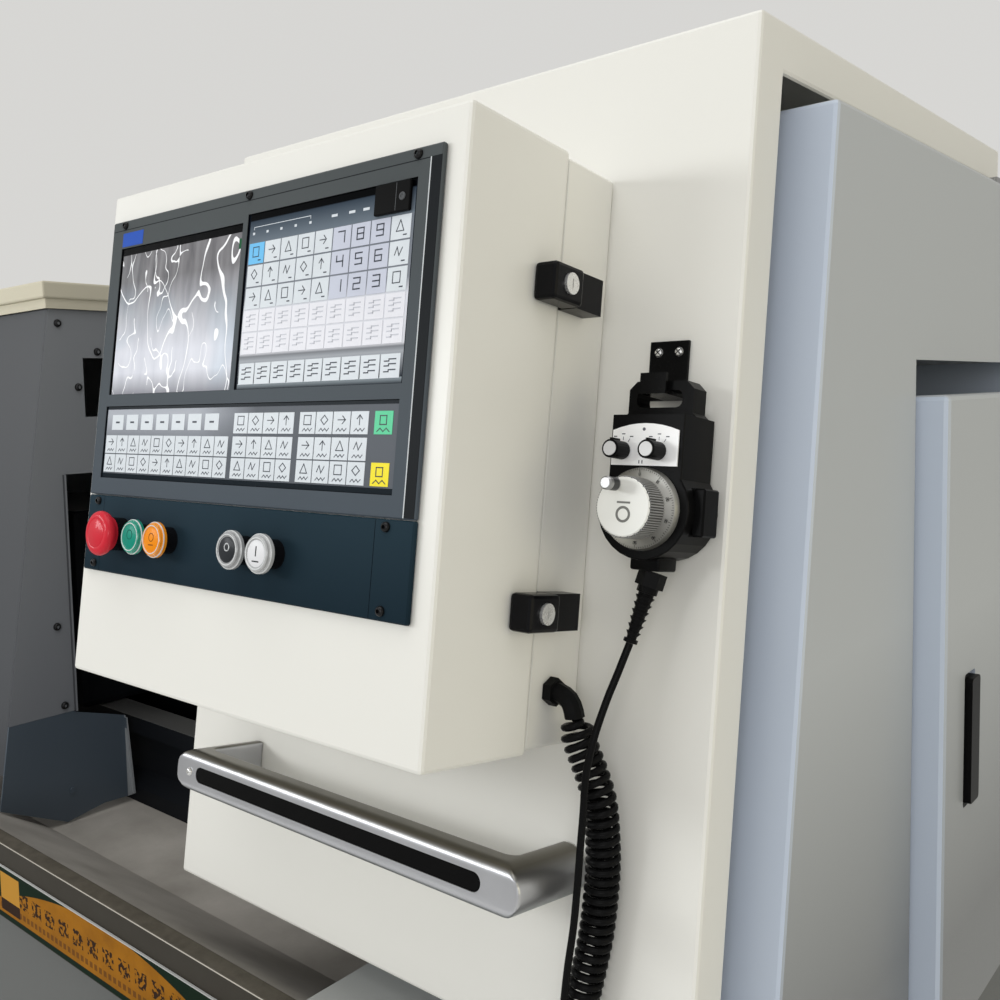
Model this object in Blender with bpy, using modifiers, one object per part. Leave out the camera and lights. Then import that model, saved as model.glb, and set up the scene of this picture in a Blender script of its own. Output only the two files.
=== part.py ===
"""Flat-bed turning lathe: covers, sliding hood with control box and hand pendant, bed, headstock,
carriage and tailstock. Metres, Z up, the floor at zero, X along the spindle, Y to the back.

Upright pieces hang on the empty "machine". Pieces on the slanted front hang on the empty "slant",
whose X runs along the machine, Z up the slanted front and -Y straight out of it."""

import math

import bmesh
import bpy
from mathutils import Matrix, Vector

# Whole machine
SHIFT_X = 0.31875
SHIFT_Y = -0.228237
PANEL_HEIGHT = 1.580
LEAN = math.radians(8.83)
GAP = 0.0003
SHEET = 0.003
OVERRUN = 0.020
FINE = 0.0001

# Base and chip tray
BASE_Y = (-0.150, 0.640)
BASE_Z = (0.050, 0.7655)
BASE_LEFT_X = (-1.250, -0.550)
BASE_RIGHT_X = (0.020, 0.585)
BASE_WALL = 0.008
FOOT_STUB = 0.022
FOOT_RADIUS = 0.035
FOOT_INSET = 0.090
FRONT_PANEL_Y = (-0.150, -0.146)
TRAY_X = (-1.255, 0.372)
TRAY_WALL = 0.004
TRAY_FRONT_Y = -0.163
TRAY_LEDGE_Y = -0.145
TRAY_FLAT_Y = 0.020
TRAY_BACK_Y = 0.620
TRAY_RIM_Z = 0.880
TRAY_FLAT_Z = 0.775
TRAY_LIP_Z = 0.778
SIGN_X = (-1.200, 0.330)
SIGN_Z = (0.782, 0.850)
SIGN_THICK = 0.0025
END_COVER_X = (0.3725, 0.585)
END_COVER_Y = (-0.163, 0.0495)
END_COVER_Z = (0.7658, 0.8843)
TONGUE_X = (0.190, 0.3745)
TONGUE_Y = (-0.163, -0.020)
TONGUE_Z = (0.8803, 0.8843)

# Bed and headstock
BED_X = (-1.200, 0.362)
BED_Y = (0.170, 0.370)
BED_TOP = 0.920
BED_FOOT_Y = (0.1685, 0.4000)
BED_FOOT_TOP = 0.800
BED_WAY = 0.050
BED_WAY_DEEP = 0.028
BED_NECK = 0.022
BED_TROUGH_Z = 0.840
SPINDLE_Y = 0.270
SPINDLE_Z = 1.100
HEAD_X = (-1.060, -0.690)
HEAD_Y = (0.130, 0.410)
HEAD_Z = (0.9203, 1.260)
HEAD_EDGE = 0.012
HEAD_BORE = 0.0453
HEAD_NOSE_RADIUS = 0.085
HEAD_NOSE_END = -0.655
SPINDLE_RADIUS = 0.045
SPINDLE_BORE = 0.022
SPINDLE_BACK = -1.120
SPINDLE_FLANGE_X = (-0.640, -0.6165)
SPINDLE_FLANGE_RADIUS = 0.075
PULLEY_X = (-1.118, -1.066)
PULLEY_RADIUS = 0.080
PULLEY_GROOVES = 3
PULLEY_GROOVE_DEEP = 0.010
GROOVE_SHARES = (0.25, 0.5, 0.75)
CHUCK_X = (-0.6162, -0.545)
CHUCK_RADIUS = 0.100
CHUCK_BORE = 0.026
CHUCK_STEP = 0.008
JAW_SLOT_WIDTH = 0.024
JAW_SLOT_DEEP = 0.020
JAW_WIDTH = 0.0234
JAW_INNER = 0.034
JAW_STEP = 0.058
JAW_OUTER = 0.088
JAW_TALL = 0.030
JAW_LOW = 0.014
MOTOR_X = (-1.180, -0.900)
MOTOR_Y = 0.530
MOTOR_Z = 0.960
MOTOR_HALF = 0.080
MOTOR_SHOE = 0.060

# Covers
COVER_X = (-1.2555, -0.6033)
COVER_FRONT = -0.055
COVER_BACK_Y = 0.6195
COVER_Z = 0.8803
TOP_COVER_X = (-1.2555, -0.590)
TOP_COVER_Y = (0.045, 0.6160)
TOP_COVER_Z = (1.602, 1.628)
TOP_BAND_X = (-1.250, -0.594)
TOP_BAND_Y = (0.051, 0.613)
TOP_BAND_Z = (1.587, 1.602)
WALL_X = (-0.603, -0.600)
WALL_Z = (0.954, 1.5867)
WALL_FRONT = -0.0555
WALL_NOTCH_Y = 0.0687
WALL_NOTCH_TOP = 1.330
WALL_BACK_Y = 0.600
WALL_STRIP = 0.006
WALL_WINDOW_Y = (0.112, 0.300)
WALL_WINDOW_Z = (1.419, 1.512)
WALL_SCREW_Y = (0.045, 0.138)
WALL_SCREW_Z = (0.966, 1.565)
WALL_SCREW_SHARES = ((0.2903, 1), (1, 0.9282), (0.6129, 0.8347), (0, 0.212), (0.0645, 0))
GUARD_Y = (-0.0612, 0.166)
GUARD_Z = (0.778, 0.9537)
GUARD_SHARES = ((0, 0.2874), (0.4718, 0), (0.7579, 0.0626), (1, 0.0512),
                (0.9604, 0.831), (0.5885, 0.9789), (0.5555, 1), (0.0889, 1))
GUARD_SCREW_Y = 0.056
GUARD_SCREW_Z = 0.827
SCREW_RADIUS = 0.0045
SCREW_HEAD = 0.0030
REAR_GUARD_X = (-0.603, -0.0403)
REAR_GUARD_Y = (0.6165, 0.6195)
REAR_GUARD_Z = (0.8803, 1.655)
RAIL_X = (-0.600, 0.570)
RAIL_Y = (0.604, 0.632)
RAIL_Z = (1.6553, 1.670)

# Right enclosure and electrical cabinet
ENCLOSURE_X = (-0.040, 0.585)
ENCLOSURE_FRONT = -0.070
ENCLOSURE_BACK_Y = 0.720
ENCLOSURE_Z = (0.7658, 1.655)
ENCLOSURE_WALL = 0.0025
ENCLOSURE_EDGE = 0.004
TRAY_CLEAR_X = 0.3755
TRAY_CLEAR_Z = 0.8846
CORNER_CLEAR_Y = 0.0498
CLEAR_FRONT_Y = -0.280
RECESS_Y = (0.2735, 0.7005)
RECESS_Z = (0.784, 1.458)
CABINET_X = (0.385, 0.5822)
CABINET_Y = (0.268, 0.706)
CABINET_Z = (0.779, 1.463)
DOOR_X = (0.5775, 0.612)
DOOR_Y = (0.279, 0.693)
DOOR_Z = (0.790, 1.425)
DOOR_WALL = 0.0025
DOOR_SKIN = 0.010
DOOR_EDGE = 0.005
DOOR_HINGE = (0.6035, 0.6993)
HINGE_RADIUS = 0.006
HINGE_SPANS = ((0.860, 0.920), (1.295, 1.355))
HINGE_ARM_DEEP = 0.0038
LEVER_Y = (0.346, 0.374)
LEVER_Z = (1.025, 1.150)
LEVER_DISH_DEEP = 0.006
LEVER_MARGIN = 0.004
LEVER_PROUD = 0.009

# Sliding hood
HOOD_X = (-0.062, 0.552)
HOOD_FRONT_V = (-0.671, 0.136)
HOOD_BACK_Y = 0.685
HOOD_TOP_Z = 1.7144
HOOD_SIDE_DEEP = 0.044
HOOD_ROOF_SIDE_Z = 1.675
HOOD_EDGE = 0.003
SHOE_SPANS = ((0.000, 0.060), (0.430, 0.490))
SHOE_Y = (0.600, 0.636)
SHOE_BOTTOM = 1.6703

# Pull handle on the hood
HANDLE_X = (0.036, 0.457)
HANDLE_V = (-0.543, -0.503)
HANDLE_W = (0.0003, 0.090)
HANDLE_THICK = 0.024
HANDLE_CORNER = 0.022
HANDLE_INNER_CORNER = 0.008
HANDLE_EDGE = 0.005
HANDLE_SLOT_X = (0.068, 0.422)
HANDLE_SLOT_V = (-0.5305, -0.5155)
HANDLE_SLOT_DEEP = 0.006
INSERT_RAISE = 0.0008

# Control box
REAR_BOX_X = (-0.008, 0.436)
REAR_BOX_V = (-0.4255, 0.0255)
REAR_BOX_W = (0.0003, 0.0675)
BOX_WALL = 0.002
BOX_EDGE = 0.003
LID_X = (-0.0105, 0.4385)
LID_V = (-0.428, 0.028)
LID_W = (0.0682, 0.185)
LID_HOLE_X = (0.0095, 0.4105)
LID_HOLE_V = (-0.2515, -0.0085)
PANEL_X = (0.000, 0.420)
PANEL_V = (-0.260, 0.000)
PANEL_W = (0.1853, 0.1903)
PANEL_EDGE = 0.0012
HOUSING_X = (0.012, 0.408)
HOUSING_V = (-0.249, -0.011)
HOUSING_W = (0.125, 0.187)
PANEL_RECESS = 0.0028
SCREEN_X = (0.018, 0.203)
SCREEN_V = (-0.166, -0.027)
KEYPAD_X = (0.209, 0.398)
KEYPAD_V = (-0.166, -0.021)
STRIP_X = (0.016, 0.397)
STRIP_V = (-0.244, -0.177)
PLATE_THICK = 0.0012
PLATE_GAP = 0.0004
CARD_COVER_X = (0.358, 0.393)
CARD_COVER_V = (-0.044, -0.022)
CARD_COVER_THICK = 0.0030
PANEL_SCREW_SHARES = ((0.0524, 0.9808), (0.4976, 0.9808), (0.9452, 0.9808))
SWITCH_V = (-0.331, -0.2605)
SWITCH_SCREW_SHARES = ((0.0429, 0.922), (0.0452, 0.0993), (0.9381, 0.922), (0.9405, 0.0993))
SWITCH_LINE_V = -0.2945
PANEL_SCREW_RADIUS = 0.0032
PANEL_SCREW_HEAD = 0.0015
SCREW_SINK = 0.0005
STOP_X = 0.062
STOP_BARREL = (0.0150, 0.0135)
STOP_STEM = 0.0109
STOP_HEAD_RADIUS = 0.0200
STOP_HEAD_W = (0.2085, 0.2183)
STOP_POCKET = (0.0112, 0.0070)
STOP_STEM_BACK = 0.2018
BUTTON_XS = (0.105, 0.1385, 0.243, 0.279)
BUTTON_NAMES = ("button_green", "button_orange", "button_clear", "button_white")
BUTTON_COLLAR = (0.0116, 0.0135)
BUTTON_POCKET = 0.0090
BUTTON_POCKET_DEEP = 0.009
BUTTON_CAP_RADIUS = 0.0155
BUTTON_CAP_W = (0.2035, 0.2100)
BUTTON_SKIRT_RADIUS = 0.0121
BUTTON_SKIRT_DEEP = 0.0038
BUTTON_STEM_RADIUS = 0.0085
BUTTON_STEM_BACK = 0.1985
LATCH_VS = (-0.079, -0.320)
LATCH_NAMES = ("latch_upper", "latch_lower")
LATCH_HALF = 0.014
LATCH_BACK_W = (0.033, 0.0665)
LATCH_FRONT_W = (0.0660, 0.103)
LATCH_PROUD_X = 0.4585
LATCH_BACK_PROUD_X = 0.4530
LATCH_EDGE = 0.003
KEY_W = 0.084
KEY_RADIUS = 0.0080
KEY_POCKET_DEEP = 0.004
KEY_PROUD = 0.0022
KEY_SLOT = (0.0012, 0.0070)
KEY_SLOT_DEEP = 0.0015
BOX_GLAND_V = -0.3820
BOX_GLAND_W = 0.040
BOX_GLAND_BASE = (0.011, 0.0075)

# Hand pendant
BRACKET_X = (0.481, 0.513)
BRACKET_V = (-0.1545, -0.109)
BRACKET_W = (0.0003, 0.0033)
BRACKET_SCREW_SHARES = ((0.2344, 0.8132), (0.7656, 0.8132))
HOOK_X = (0.4955, 0.5165)
HOOK_V = (-0.1545, -0.1515)
HOOK_LIP_V = (-0.1545, -0.1390)
HOOK_REACH_W = 0.0400
CASE_X = 0.510
CASE_V = -0.239
CASE_W = (0.0045, 0.050)
CASE_EDGE = 0.004
CASE_ROUND = 0.0365
CASE_HALF = 0.029
CASE_SHOULDER_V = -0.171
LOOP_HALF = 0.026
LOOP_TOP_V = -0.1445
LOOP_HOLE_X = (0.4905, 0.5275)
LOOP_HOLE_V = (-0.1640, -0.1512)
LOOP_HOLE_ROUND = 0.005
LOOP_W_BACK = 0.0150
LOOP_W_FRONT = 0.0340
LOOP_CORNER = 0.006
FACE_X = (0.483, 0.536)
FACE_V = (-0.2080, -0.1775)
FACE_THICK = 0.0012
FACE_ARCH = 0.005
FACE_STEPS = 8
SELECTOR_XS = (0.4920, 0.5209)
SELECTOR_NAMES = ("axis_selector", "rate_selector")
SELECTOR_V = -0.1975
SELECTOR_RADIUS = 0.0067
SELECTOR_LONG = 0.0175
SELECTOR_CAP = 0.0052
SELECTOR_POINTER = (0.0022, 0.0012)
DIAL_RADIUS = 0.0300
DIAL_THICK = 0.0060
DISC_RADIUS = 0.0215
DISC_THICK = 0.0200
DISC_NOTCHES = 24
DISC_NOTCH_RADIUS = 0.0009
CRANK_OFFSET = (-0.0037, 0.0153)
CRANK_PIN_RADIUS = 0.0018
CRANK_PIN_LONG = 0.0040
CRANK_KNOB_RADIUS = 0.0048
CRANK_KNOB_LONG = 0.0143
ENABLE_V = (-0.256, -0.222)
ENABLE_W = (0.018, 0.040)
ENABLE_X = (0.5440, 0.5530)
ENABLE_POCKET_X = 0.5415
GLAND_FLATS = 6
GLAND_RADIUS = 0.0105
GLAND_LONG = 0.0120
RELIEF_RADII = (0.0076, 0.0052)
RELIEF_RIB = 0.0016
RELIEF_RIBS = 7
RIB_SHARES = (0.5, 0.55, 0.95)
GLAND_SHARES = (-0.34, 0.6)
RELIEF_START = (0.5090, -0.2880, 0.0270)
RELIEF_END = (0.4985, -0.3365, 0.0330)

# Cords, as x, v, w on the slanted front
CORD_RADIUS = 0.0030
COIL_RADIUS = 0.0135
CORD_POINTS = ((0.4984, -0.3370, 0.0331), (0.4927, -0.3609, 0.0380), (0.4882, -0.3810, 0.0430),
               (0.4834, -0.4075, 0.0480), (0.4801, -0.4348, 0.0500), (0.4794, -0.4640, 0.0490),
               (0.4772, -0.4904, 0.0460), (0.4752, -0.5206, 0.0430), (0.4724, -0.5512, 0.0400),
               (0.4687, -0.5824, 0.0380), (0.4668, -0.6180, 0.0370), (0.4665, -0.6500, 0.0365),
               (0.4664, -0.6680, 0.0335), (0.4664, -0.6760, 0.0260), (0.4664, -0.6700, 0.0190),
               (0.4664, -0.6594, 0.0168))
COIL_POINTS = ((0.4593, -0.3988, 0.0379), (0.4628, -0.4147, 0.0350), (0.4729, -0.4391, 0.0300),
               (0.4791, -0.4604, 0.0260), (0.4814, -0.4939, 0.0210), (0.4809, -0.5205, 0.0185),
               (0.4785, -0.5548, 0.0170), (0.4746, -0.5821, 0.0168), (0.4699, -0.6097, 0.0168),
               (0.4680, -0.6326, 0.0168), (0.4664, -0.6586, 0.0168))
ELBOW_POINTS = ((0.4412, -0.3820, 0.0400), (0.4475, -0.3826, 0.0399), (0.4545, -0.3862, 0.0396),
                (0.4580, -0.3925, 0.0390), (0.4592, -0.3983, 0.0380))
ELBOW_RADIUS = 0.0078
CORD_STEP = 0.0085
COIL_STEP = 0.0200
ELBOW_STEP = 0.0045

# Carriage
SADDLE_X = (-0.090, 0.130)
SADDLE_Y = (0.120, 0.400)
SADDLE_Z = (0.9203, 0.965)
APRON_X = (-0.060, 0.100)
APRON_Y = (0.120, 0.1495)
APRON_Z = (0.845, 0.930)
CARRIAGE_EDGE = 0.004
RIDGE_X = (0.000, 0.050)
RIDGE_Z = (0.960, 0.977)
CROSS_X = (-0.045, 0.095)
CROSS_Y = (0.055, 0.330)
CROSS_Z = (0.9653, 1.010)
POST_X = 0.025
POST_Y = 0.125
POST_HALF = 0.042
POST_Z = (1.0103, 1.085)
POST_SLOT_Z = (1.040, 1.062)
POST_SLOT_DEEP = 0.018
POST_NUT_RADIUS = 0.014
POST_NUT_TOP = 1.105

# Tailstock
TAIL_BASE_X = (0.175, 0.340)
TAIL_BASE_Y = (0.160, 0.380)
TAIL_BASE_Z = (0.9203, 0.980)
TAIL_BODY_X = (0.190, 0.325)
TAIL_BARREL_X = (0.187, 0.322)
TAIL_BODY_RADIUS = 0.052
TAIL_NECK_Y = (0.225, 0.315)
TAIL_EDGE = 0.006
QUILL_RADIUS = 0.0270
QUILL_CLEAR = 0.0004
QUILL_X = (0.160, 0.310)
CENTRE_X = 0.115
CENTRE_BASE = 0.0125
CENTRE_CONE = 0.025
WHEEL_X = (0.3500, 0.3640)
WHEEL_RADIUS = 0.055
WHEEL_HUB = 0.016
WHEEL_HUB_X = (0.3253, 0.3660)
WHEEL_RIM = 0.008
WHEEL_HOLES = 4
WHEEL_HOLE_RADIUS = 0.014
WHEEL_HOLE_AT = 0.031
WHEEL_KNOB = (0.006, 0.022)
WHEEL_KNOB_AT = 0.044

# Rounding steps
ROUND_LARGE = 48
ROUND_MEDIUM = 32
ROUND_SMALL = 20
ROUND_TINY = 12
CORNER_STEPS = 3

# Colours and surface shares
MATERIALS = {
    "cream_paint": ((0.74, 0.73, 0.68), 0.00, 0.42),
    "light_grey_paint": ((0.36, 0.38, 0.40), 0.00, 0.45),
    "dark_grey_paint": ((0.10, 0.10, 0.11), 0.00, 0.50),
    "base_paint": ((0.20, 0.20, 0.20), 0.00, 0.50),
    "tray_steel": ((0.30, 0.29, 0.27), 0.60, 0.45),
    "sign_green": ((0.02, 0.05, 0.03), 0.00, 0.40),
    "cast_iron": ((0.13, 0.13, 0.13), 0.40, 0.50),
    "machined_steel": ((0.50, 0.50, 0.50), 0.90, 0.30),
    "chrome": ((0.80, 0.80, 0.80), 1.00, 0.12),
    "brushed_aluminium": ((0.62, 0.63, 0.65), 0.95, 0.30),
    "panel_grey": ((0.055, 0.060, 0.068), 0.00, 0.40),
    "black_plastic": ((0.012, 0.012, 0.013), 0.00, 0.42),
    "black_metal": ((0.016, 0.016, 0.017), 0.10, 0.38),
    "black_rubber": ((0.014, 0.014, 0.014), 0.00, 0.55),
    "screen_glass": ((0.10, 0.10, 0.11), 0.00, 0.12),
    "key_film": ((0.42, 0.46, 0.50), 0.00, 0.35),
    "stop_red": ((0.62, 0.03, 0.03), 0.00, 0.35),
    "lens_green": ((0.02, 0.42, 0.28), 0.00, 0.18),
    "lens_orange": ((0.85, 0.28, 0.02), 0.00, 0.18),
    "lens_clear": ((0.30, 0.31, 0.32), 0.00, 0.15),
    "lens_white": ((0.70, 0.72, 0.74), 0.00, 0.15),
    "silver_plate": ((0.66, 0.66, 0.67), 0.80, 0.35),
}


def clear_scene():
    for item in list(bpy.data.objects):
        bpy.data.objects.remove(item, do_unlink=True)


def make_materials():
    made = {}
    for name, (colour, metallic, roughness) in MATERIALS.items():
        material = bpy.data.materials.new(name)
        material.use_nodes = True
        shader = material.node_tree.nodes["Principled BSDF"]
        shader.inputs["Base Color"].default_value = (*colour, 1.0)
        shader.inputs["Metallic"].default_value = metallic
        shader.inputs["Roughness"].default_value = roughness
        made[name] = material
    return made


def empty(name, parent=None, location=(0, 0, 0), tilt=0.0):
    item = bpy.data.objects.new(name, None)
    item.parent = parent
    item.location = location
    item.rotation_euler = (tilt, 0, 0)
    bpy.context.scene.collection.objects.link(item)
    return item


clear_scene()
PAINT = make_materials()
MACHINE = empty("machine", location=(SHIFT_X, SHIFT_Y, 0))
SLANT = empty("slant", MACHINE, (0, 0, PANEL_HEIGHT), -LEAN)
CUTTERS = bpy.data.collections.new("cutters")
CUTTERS.hide_render = True
bpy.context.scene.collection.children.link(CUTTERS)


def add(name, shape, material, parent, pivot=(0, 0, 0)):
    """One object from a bmesh, or from a mesh, with its origin moved to the pivot."""
    mesh = shape
    if not isinstance(shape, bpy.types.Mesh):
        mesh = bpy.data.meshes.new(name)
        shape.to_mesh(mesh)
        shape.free()
    mesh.transform(Matrix.Translation(-Vector(pivot)))
    item = bpy.data.objects.new(name, mesh)
    item.parent = parent
    item.location = pivot
    if material:
        mesh.materials.append(PAINT[material])
    bpy.context.scene.collection.objects.link(item)
    return item


def rounded_edges(item, width, steps=2, angle=math.radians(35)):
    modifier = item.modifiers.new("edge", "BEVEL")
    modifier.width = width
    modifier.segments = steps
    modifier.limit_method = "ANGLE"
    modifier.angle_limit = angle
    return item


def combine(item, other, operation):
    """Boolean of the item with a helper, which goes to the cutters."""
    modifier = item.modifiers.new(operation.lower(), "BOOLEAN")
    modifier.operation = operation
    modifier.solver = "EXACT"
    modifier.object = other
    other.display_type = "WIRE"
    other.hide_render = True
    for home in list(other.users_collection):
        home.objects.unlink(other)
    CUTTERS.objects.link(other)
    return item


def cut(item, *others):
    for other in others:
        combine(item, other, "DIFFERENCE")
    return item


def fuse(item, *others):
    for other in others:
        combine(item, other, "UNION")
    return item


def add_block(shape, x, y, z):
    centre = Vector((sum(x) / 2, sum(y) / 2, sum(z) / 2))
    size = Matrix.Diagonal((x[1] - x[0], y[1] - y[0], z[1] - z[0], 1))
    bmesh.ops.create_cube(shape, size=1, matrix=Matrix.Translation(centre) @ size)


def block(name, x, y, z, material=None, parent=MACHINE, pivot=(0, 0, 0)):
    shape = bmesh.new()
    add_block(shape, x, y, z)
    return add(name, shape, material, parent, pivot)


def depth(w):
    """The y span on the slanted front of a span of distances out of it."""
    return (-w[1], -w[0])


def slant_block(name, x, v, w, material=None, pivot=(0, 0, 0)):
    return block(name, x, depth(w), v, material, SLANT, pivot)


def turned_axis(axis):
    """Turns a shape's own Z onto the axis."""
    return Vector(axis).to_track_quat("Z", "Y").to_matrix().to_4x4()


def add_rod(shape, radius, start, end, sides, end_radius=None):
    start, end = Vector(start), Vector(end)
    place = Matrix.Translation((start + end) / 2) @ turned_axis(end - start)
    last = radius if end_radius is None else end_radius
    bmesh.ops.create_cone(shape, cap_ends=True, segments=sides, radius1=radius, radius2=last,
                          depth=(end - start).length, matrix=place)


def rod(name, radius, start, end, sides, material=None, parent=MACHINE, pivot=(0, 0, 0),
        end_radius=None):
    shape = bmesh.new()
    add_rod(shape, radius, start, end, sides, end_radius)
    return add(name, shape, material, parent, pivot)


def rods(name, radius, pairs, sides, parent=MACHINE):
    """Several separate rods in one helper."""
    shape = bmesh.new()
    for start, end in pairs:
        add_rod(shape, radius, start, end, sides)
    return add(name, shape, None, parent)


def on_slant(x, v, w):
    return Vector((x, -w, v))


def slant_rod(name, radius, at, w, sides, material=None, pivot=(0, 0, 0), end_radius=None):
    """A round piece standing straight out of the slanted front, from w[0] to w[1]."""
    start = on_slant(*at, w[0])
    end = on_slant(*at, w[1])
    return rod(name, radius, start, end, sides, material, SLANT, pivot, end_radius)


def turned(name, profile, steps, start, axis, material=None, parent=MACHINE, pivot=None):
    """A solid of revolution. The profile lists radius and height, from the top down the outside."""
    mesh = bpy.data.meshes.new(name)
    points = [(radius, 0, height) for radius, height in profile]
    links = [(i, i + 1) for i in range(len(points) - 1)]
    mesh.from_pydata(points, links, [])
    helper = bpy.data.objects.new(name + "_profile", mesh)
    bpy.context.scene.collection.objects.link(helper)
    screw = helper.modifiers.new("turn", "SCREW")
    screw.steps = steps
    screw.render_steps = steps
    screw.use_merge_vertices = True
    screw.merge_threshold = FINE / 10
    graph = bpy.context.evaluated_depsgraph_get()
    solid = bpy.data.meshes.new_from_object(helper.evaluated_get(graph))
    bpy.data.objects.remove(helper)
    shape = bmesh.new()
    shape.from_mesh(solid)
    bmesh.ops.remove_doubles(shape, verts=shape.verts, dist=FINE / 10)
    bmesh.ops.recalc_face_normals(shape, faces=shape.faces)
    shape.transform(Matrix.Translation(Vector(start)) @ turned_axis(axis))
    return add(name, shape, material, parent, start if pivot is None else pivot)


def corner_points(points, radius, steps=CORNER_STEPS):
    """The outline with each corner rounded by an arc."""
    found = []
    count = len(points)
    for i, corner in enumerate(points):
        here = Vector(corner)
        back = (Vector(points[i - 1]) - here).normalized()
        ahead = (Vector(points[(i + 1) % count]) - here).normalized()
        half = back.angle(ahead) / 2
        centre = here + (back + ahead).normalized() * radius / math.sin(half)
        first = (here + back * radius / math.tan(half) - centre).normalized()
        last = (here + ahead * radius / math.tan(half) - centre).normalized()
        for step in range(steps + 1):
            found.append(centre + first.slerp(last, step / steps) * radius)
    return found


def spread(shares, a, b):
    """Places at shares of the two spans a and b."""
    return [(a[0] + (a[1] - a[0]) * i, b[0] + (b[1] - b[0]) * j) for i, j in shares]


def box_outline(a, b):
    return [(a[0], b[0]), (a[1], b[0]), (a[1], b[1]), (a[0], b[1])]


AXES = {
    "X": Matrix(((0, 0, 1, 0), (1, 0, 0, 0), (0, 1, 0, 0), (0, 0, 0, 1))),
    "Y": Matrix(((1, 0, 0, 0), (0, 0, -1, 0), (0, 1, 0, 0), (0, 0, 0, 1))),
    "Z": Matrix.Identity(4),
}


def prism(name, outlines, axis, span, material=None, parent=MACHINE, pivot=(0, 0, 0)):
    """Flat outlines, the first one outside and the others holes, pulled along an axis. They are
    in Y and Z for X, in X and Z for Y, in X and Y for Z."""
    curve = bpy.data.curves.new(name, "CURVE")
    curve.dimensions = "2D"
    curve.fill_mode = "BOTH"
    curve.extrude = (span[1] - span[0]) / 2
    for outline in outlines:
        spline = curve.splines.new("POLY")
        spline.points.add(len(outline) - 1)
        for point, (a, b) in zip(spline.points, outline):
            point.co = (a, b, 0, 1)
        spline.use_cyclic_u = True
    helper = bpy.data.objects.new(name + "_outline", curve)
    bpy.context.scene.collection.objects.link(helper)
    graph = bpy.context.evaluated_depsgraph_get()
    solid = bpy.data.meshes.new_from_object(helper.evaluated_get(graph))
    bpy.data.objects.remove(helper)
    shape = bmesh.new()
    shape.from_mesh(solid)
    bmesh.ops.remove_doubles(shape, verts=shape.verts, dist=FINE / 10)
    bmesh.ops.recalc_face_normals(shape, faces=shape.faces)
    middle = (span[0] + span[1]) / 2
    along = -middle if axis == "Y" else middle
    shape.transform(AXES[axis] @ Matrix.Translation((0, 0, along)))
    return add(name, shape, material, parent, pivot)


def slant_prism(name, outlines, w, material=None, pivot=(0, 0, 0)):
    return prism(name, outlines, "Y", depth(w), material, SLANT, pivot)


def front_point(v, w):
    """Height and depth in the upright frame of a place on the slanted front, as y and z."""
    y = v * math.sin(LEAN) - w * math.cos(LEAN)
    z = PANEL_HEIGHT + v * math.cos(LEAN) + w * math.sin(LEAN)
    return (y, z)


def front_at(z, w):
    """The y of the slanted plane w at the height z."""
    v = (z - PANEL_HEIGHT - w * math.sin(LEAN)) / math.cos(LEAN)
    return front_point(v, w)[0]


def smooth_line(points, step):
    """Evenly spaced places along a smooth curve through the points."""
    points = [Vector(point) for point in points]
    padded = [points[0] * 2 - points[1]] + points + [points[-1] * 2 - points[-2]]
    fine = []
    pieces = 24
    for before, first, second, after in zip(padded, padded[1:], padded[2:], padded[3:]):
        for i in range(pieces):
            t = i / pieces
            bend = (before * -1 + first * 3 - second * 3 + after) * t ** 3
            bend += (before * 2 - first * 5 + second * 4 - after) * t ** 2
            fine.append((bend + (second - before) * t + first * 2) / 2)
    fine.append(points[-1])
    lengths = [(b - a).length for a, b in zip(fine, fine[1:])]
    count = max(2, round(sum(lengths) / step))
    wanted = [sum(lengths) * i / count for i in range(count)]
    found = []
    walked = 0.0
    for start, end, length in zip(fine, fine[1:], lengths):
        while wanted and wanted[0] <= walked + length:
            found.append(start.lerp(end, (wanted.pop(0) - walked) / length))
        walked += length
    return found + [points[-1]]


def tube(name, points, step, radius, resolution, material):
    """A round cord through places on the slanted front."""
    line = smooth_line([on_slant(*point) for point in points], step)
    curve = bpy.data.curves.new(name, "CURVE")
    curve.dimensions = "3D"
    curve.bevel_depth = radius
    curve.bevel_resolution = resolution
    curve.use_fill_caps = True
    spline = curve.splines.new("POLY")
    spline.points.add(len(line) - 1)
    for point, place in zip(spline.points, line):
        point.co = (*place, 1)
    helper = bpy.data.objects.new(name + "_line", curve)
    bpy.context.scene.collection.objects.link(helper)
    graph = bpy.context.evaluated_depsgraph_get()
    solid = bpy.data.meshes.new_from_object(helper.evaluated_get(graph))
    bpy.data.objects.remove(helper)
    shape = bmesh.new()
    shape.from_mesh(solid)
    bmesh.ops.remove_doubles(shape, verts=shape.verts, dist=FINE / 10)
    bmesh.ops.recalc_face_normals(shape, faces=shape.faces)
    return add(name, shape, material, SLANT)


def make_base():
    """Two welded pedestals on feet, joined by a plain front sheet."""
    left, right = BASE_LEFT_X, BASE_RIGHT_X
    base = block("base", left, BASE_Y, BASE_Z, "base_paint")
    front = block("base_front", (left[1] - OVERRUN, right[0] + OVERRUN), FRONT_PANEL_Y, BASE_Z)
    feet = []
    for x in (left, right):
        for foot_x in (x[0] + FOOT_INSET, x[1] - FOOT_INSET):
            for foot_y in (BASE_Y[0] + FOOT_INSET, BASE_Y[1] - FOOT_INSET):
                feet.append(((foot_x, foot_y, 0), (foot_x, foot_y, BASE_Z[0] + OVERRUN)))
    fuse(base, front, block("base_right", right, BASE_Y, BASE_Z),
         rods("base_feet", FOOT_RADIUS, feet, ROUND_TINY))
    wall = BASE_WALL
    cut(base, block("base_room", (left[0] + wall, right[1] - wall),
                    (BASE_Y[0] + wall, BASE_Y[1] - wall), (BASE_Z[0] + FOOT_STUB, BASE_Z[1]
                    - wall)))


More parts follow.
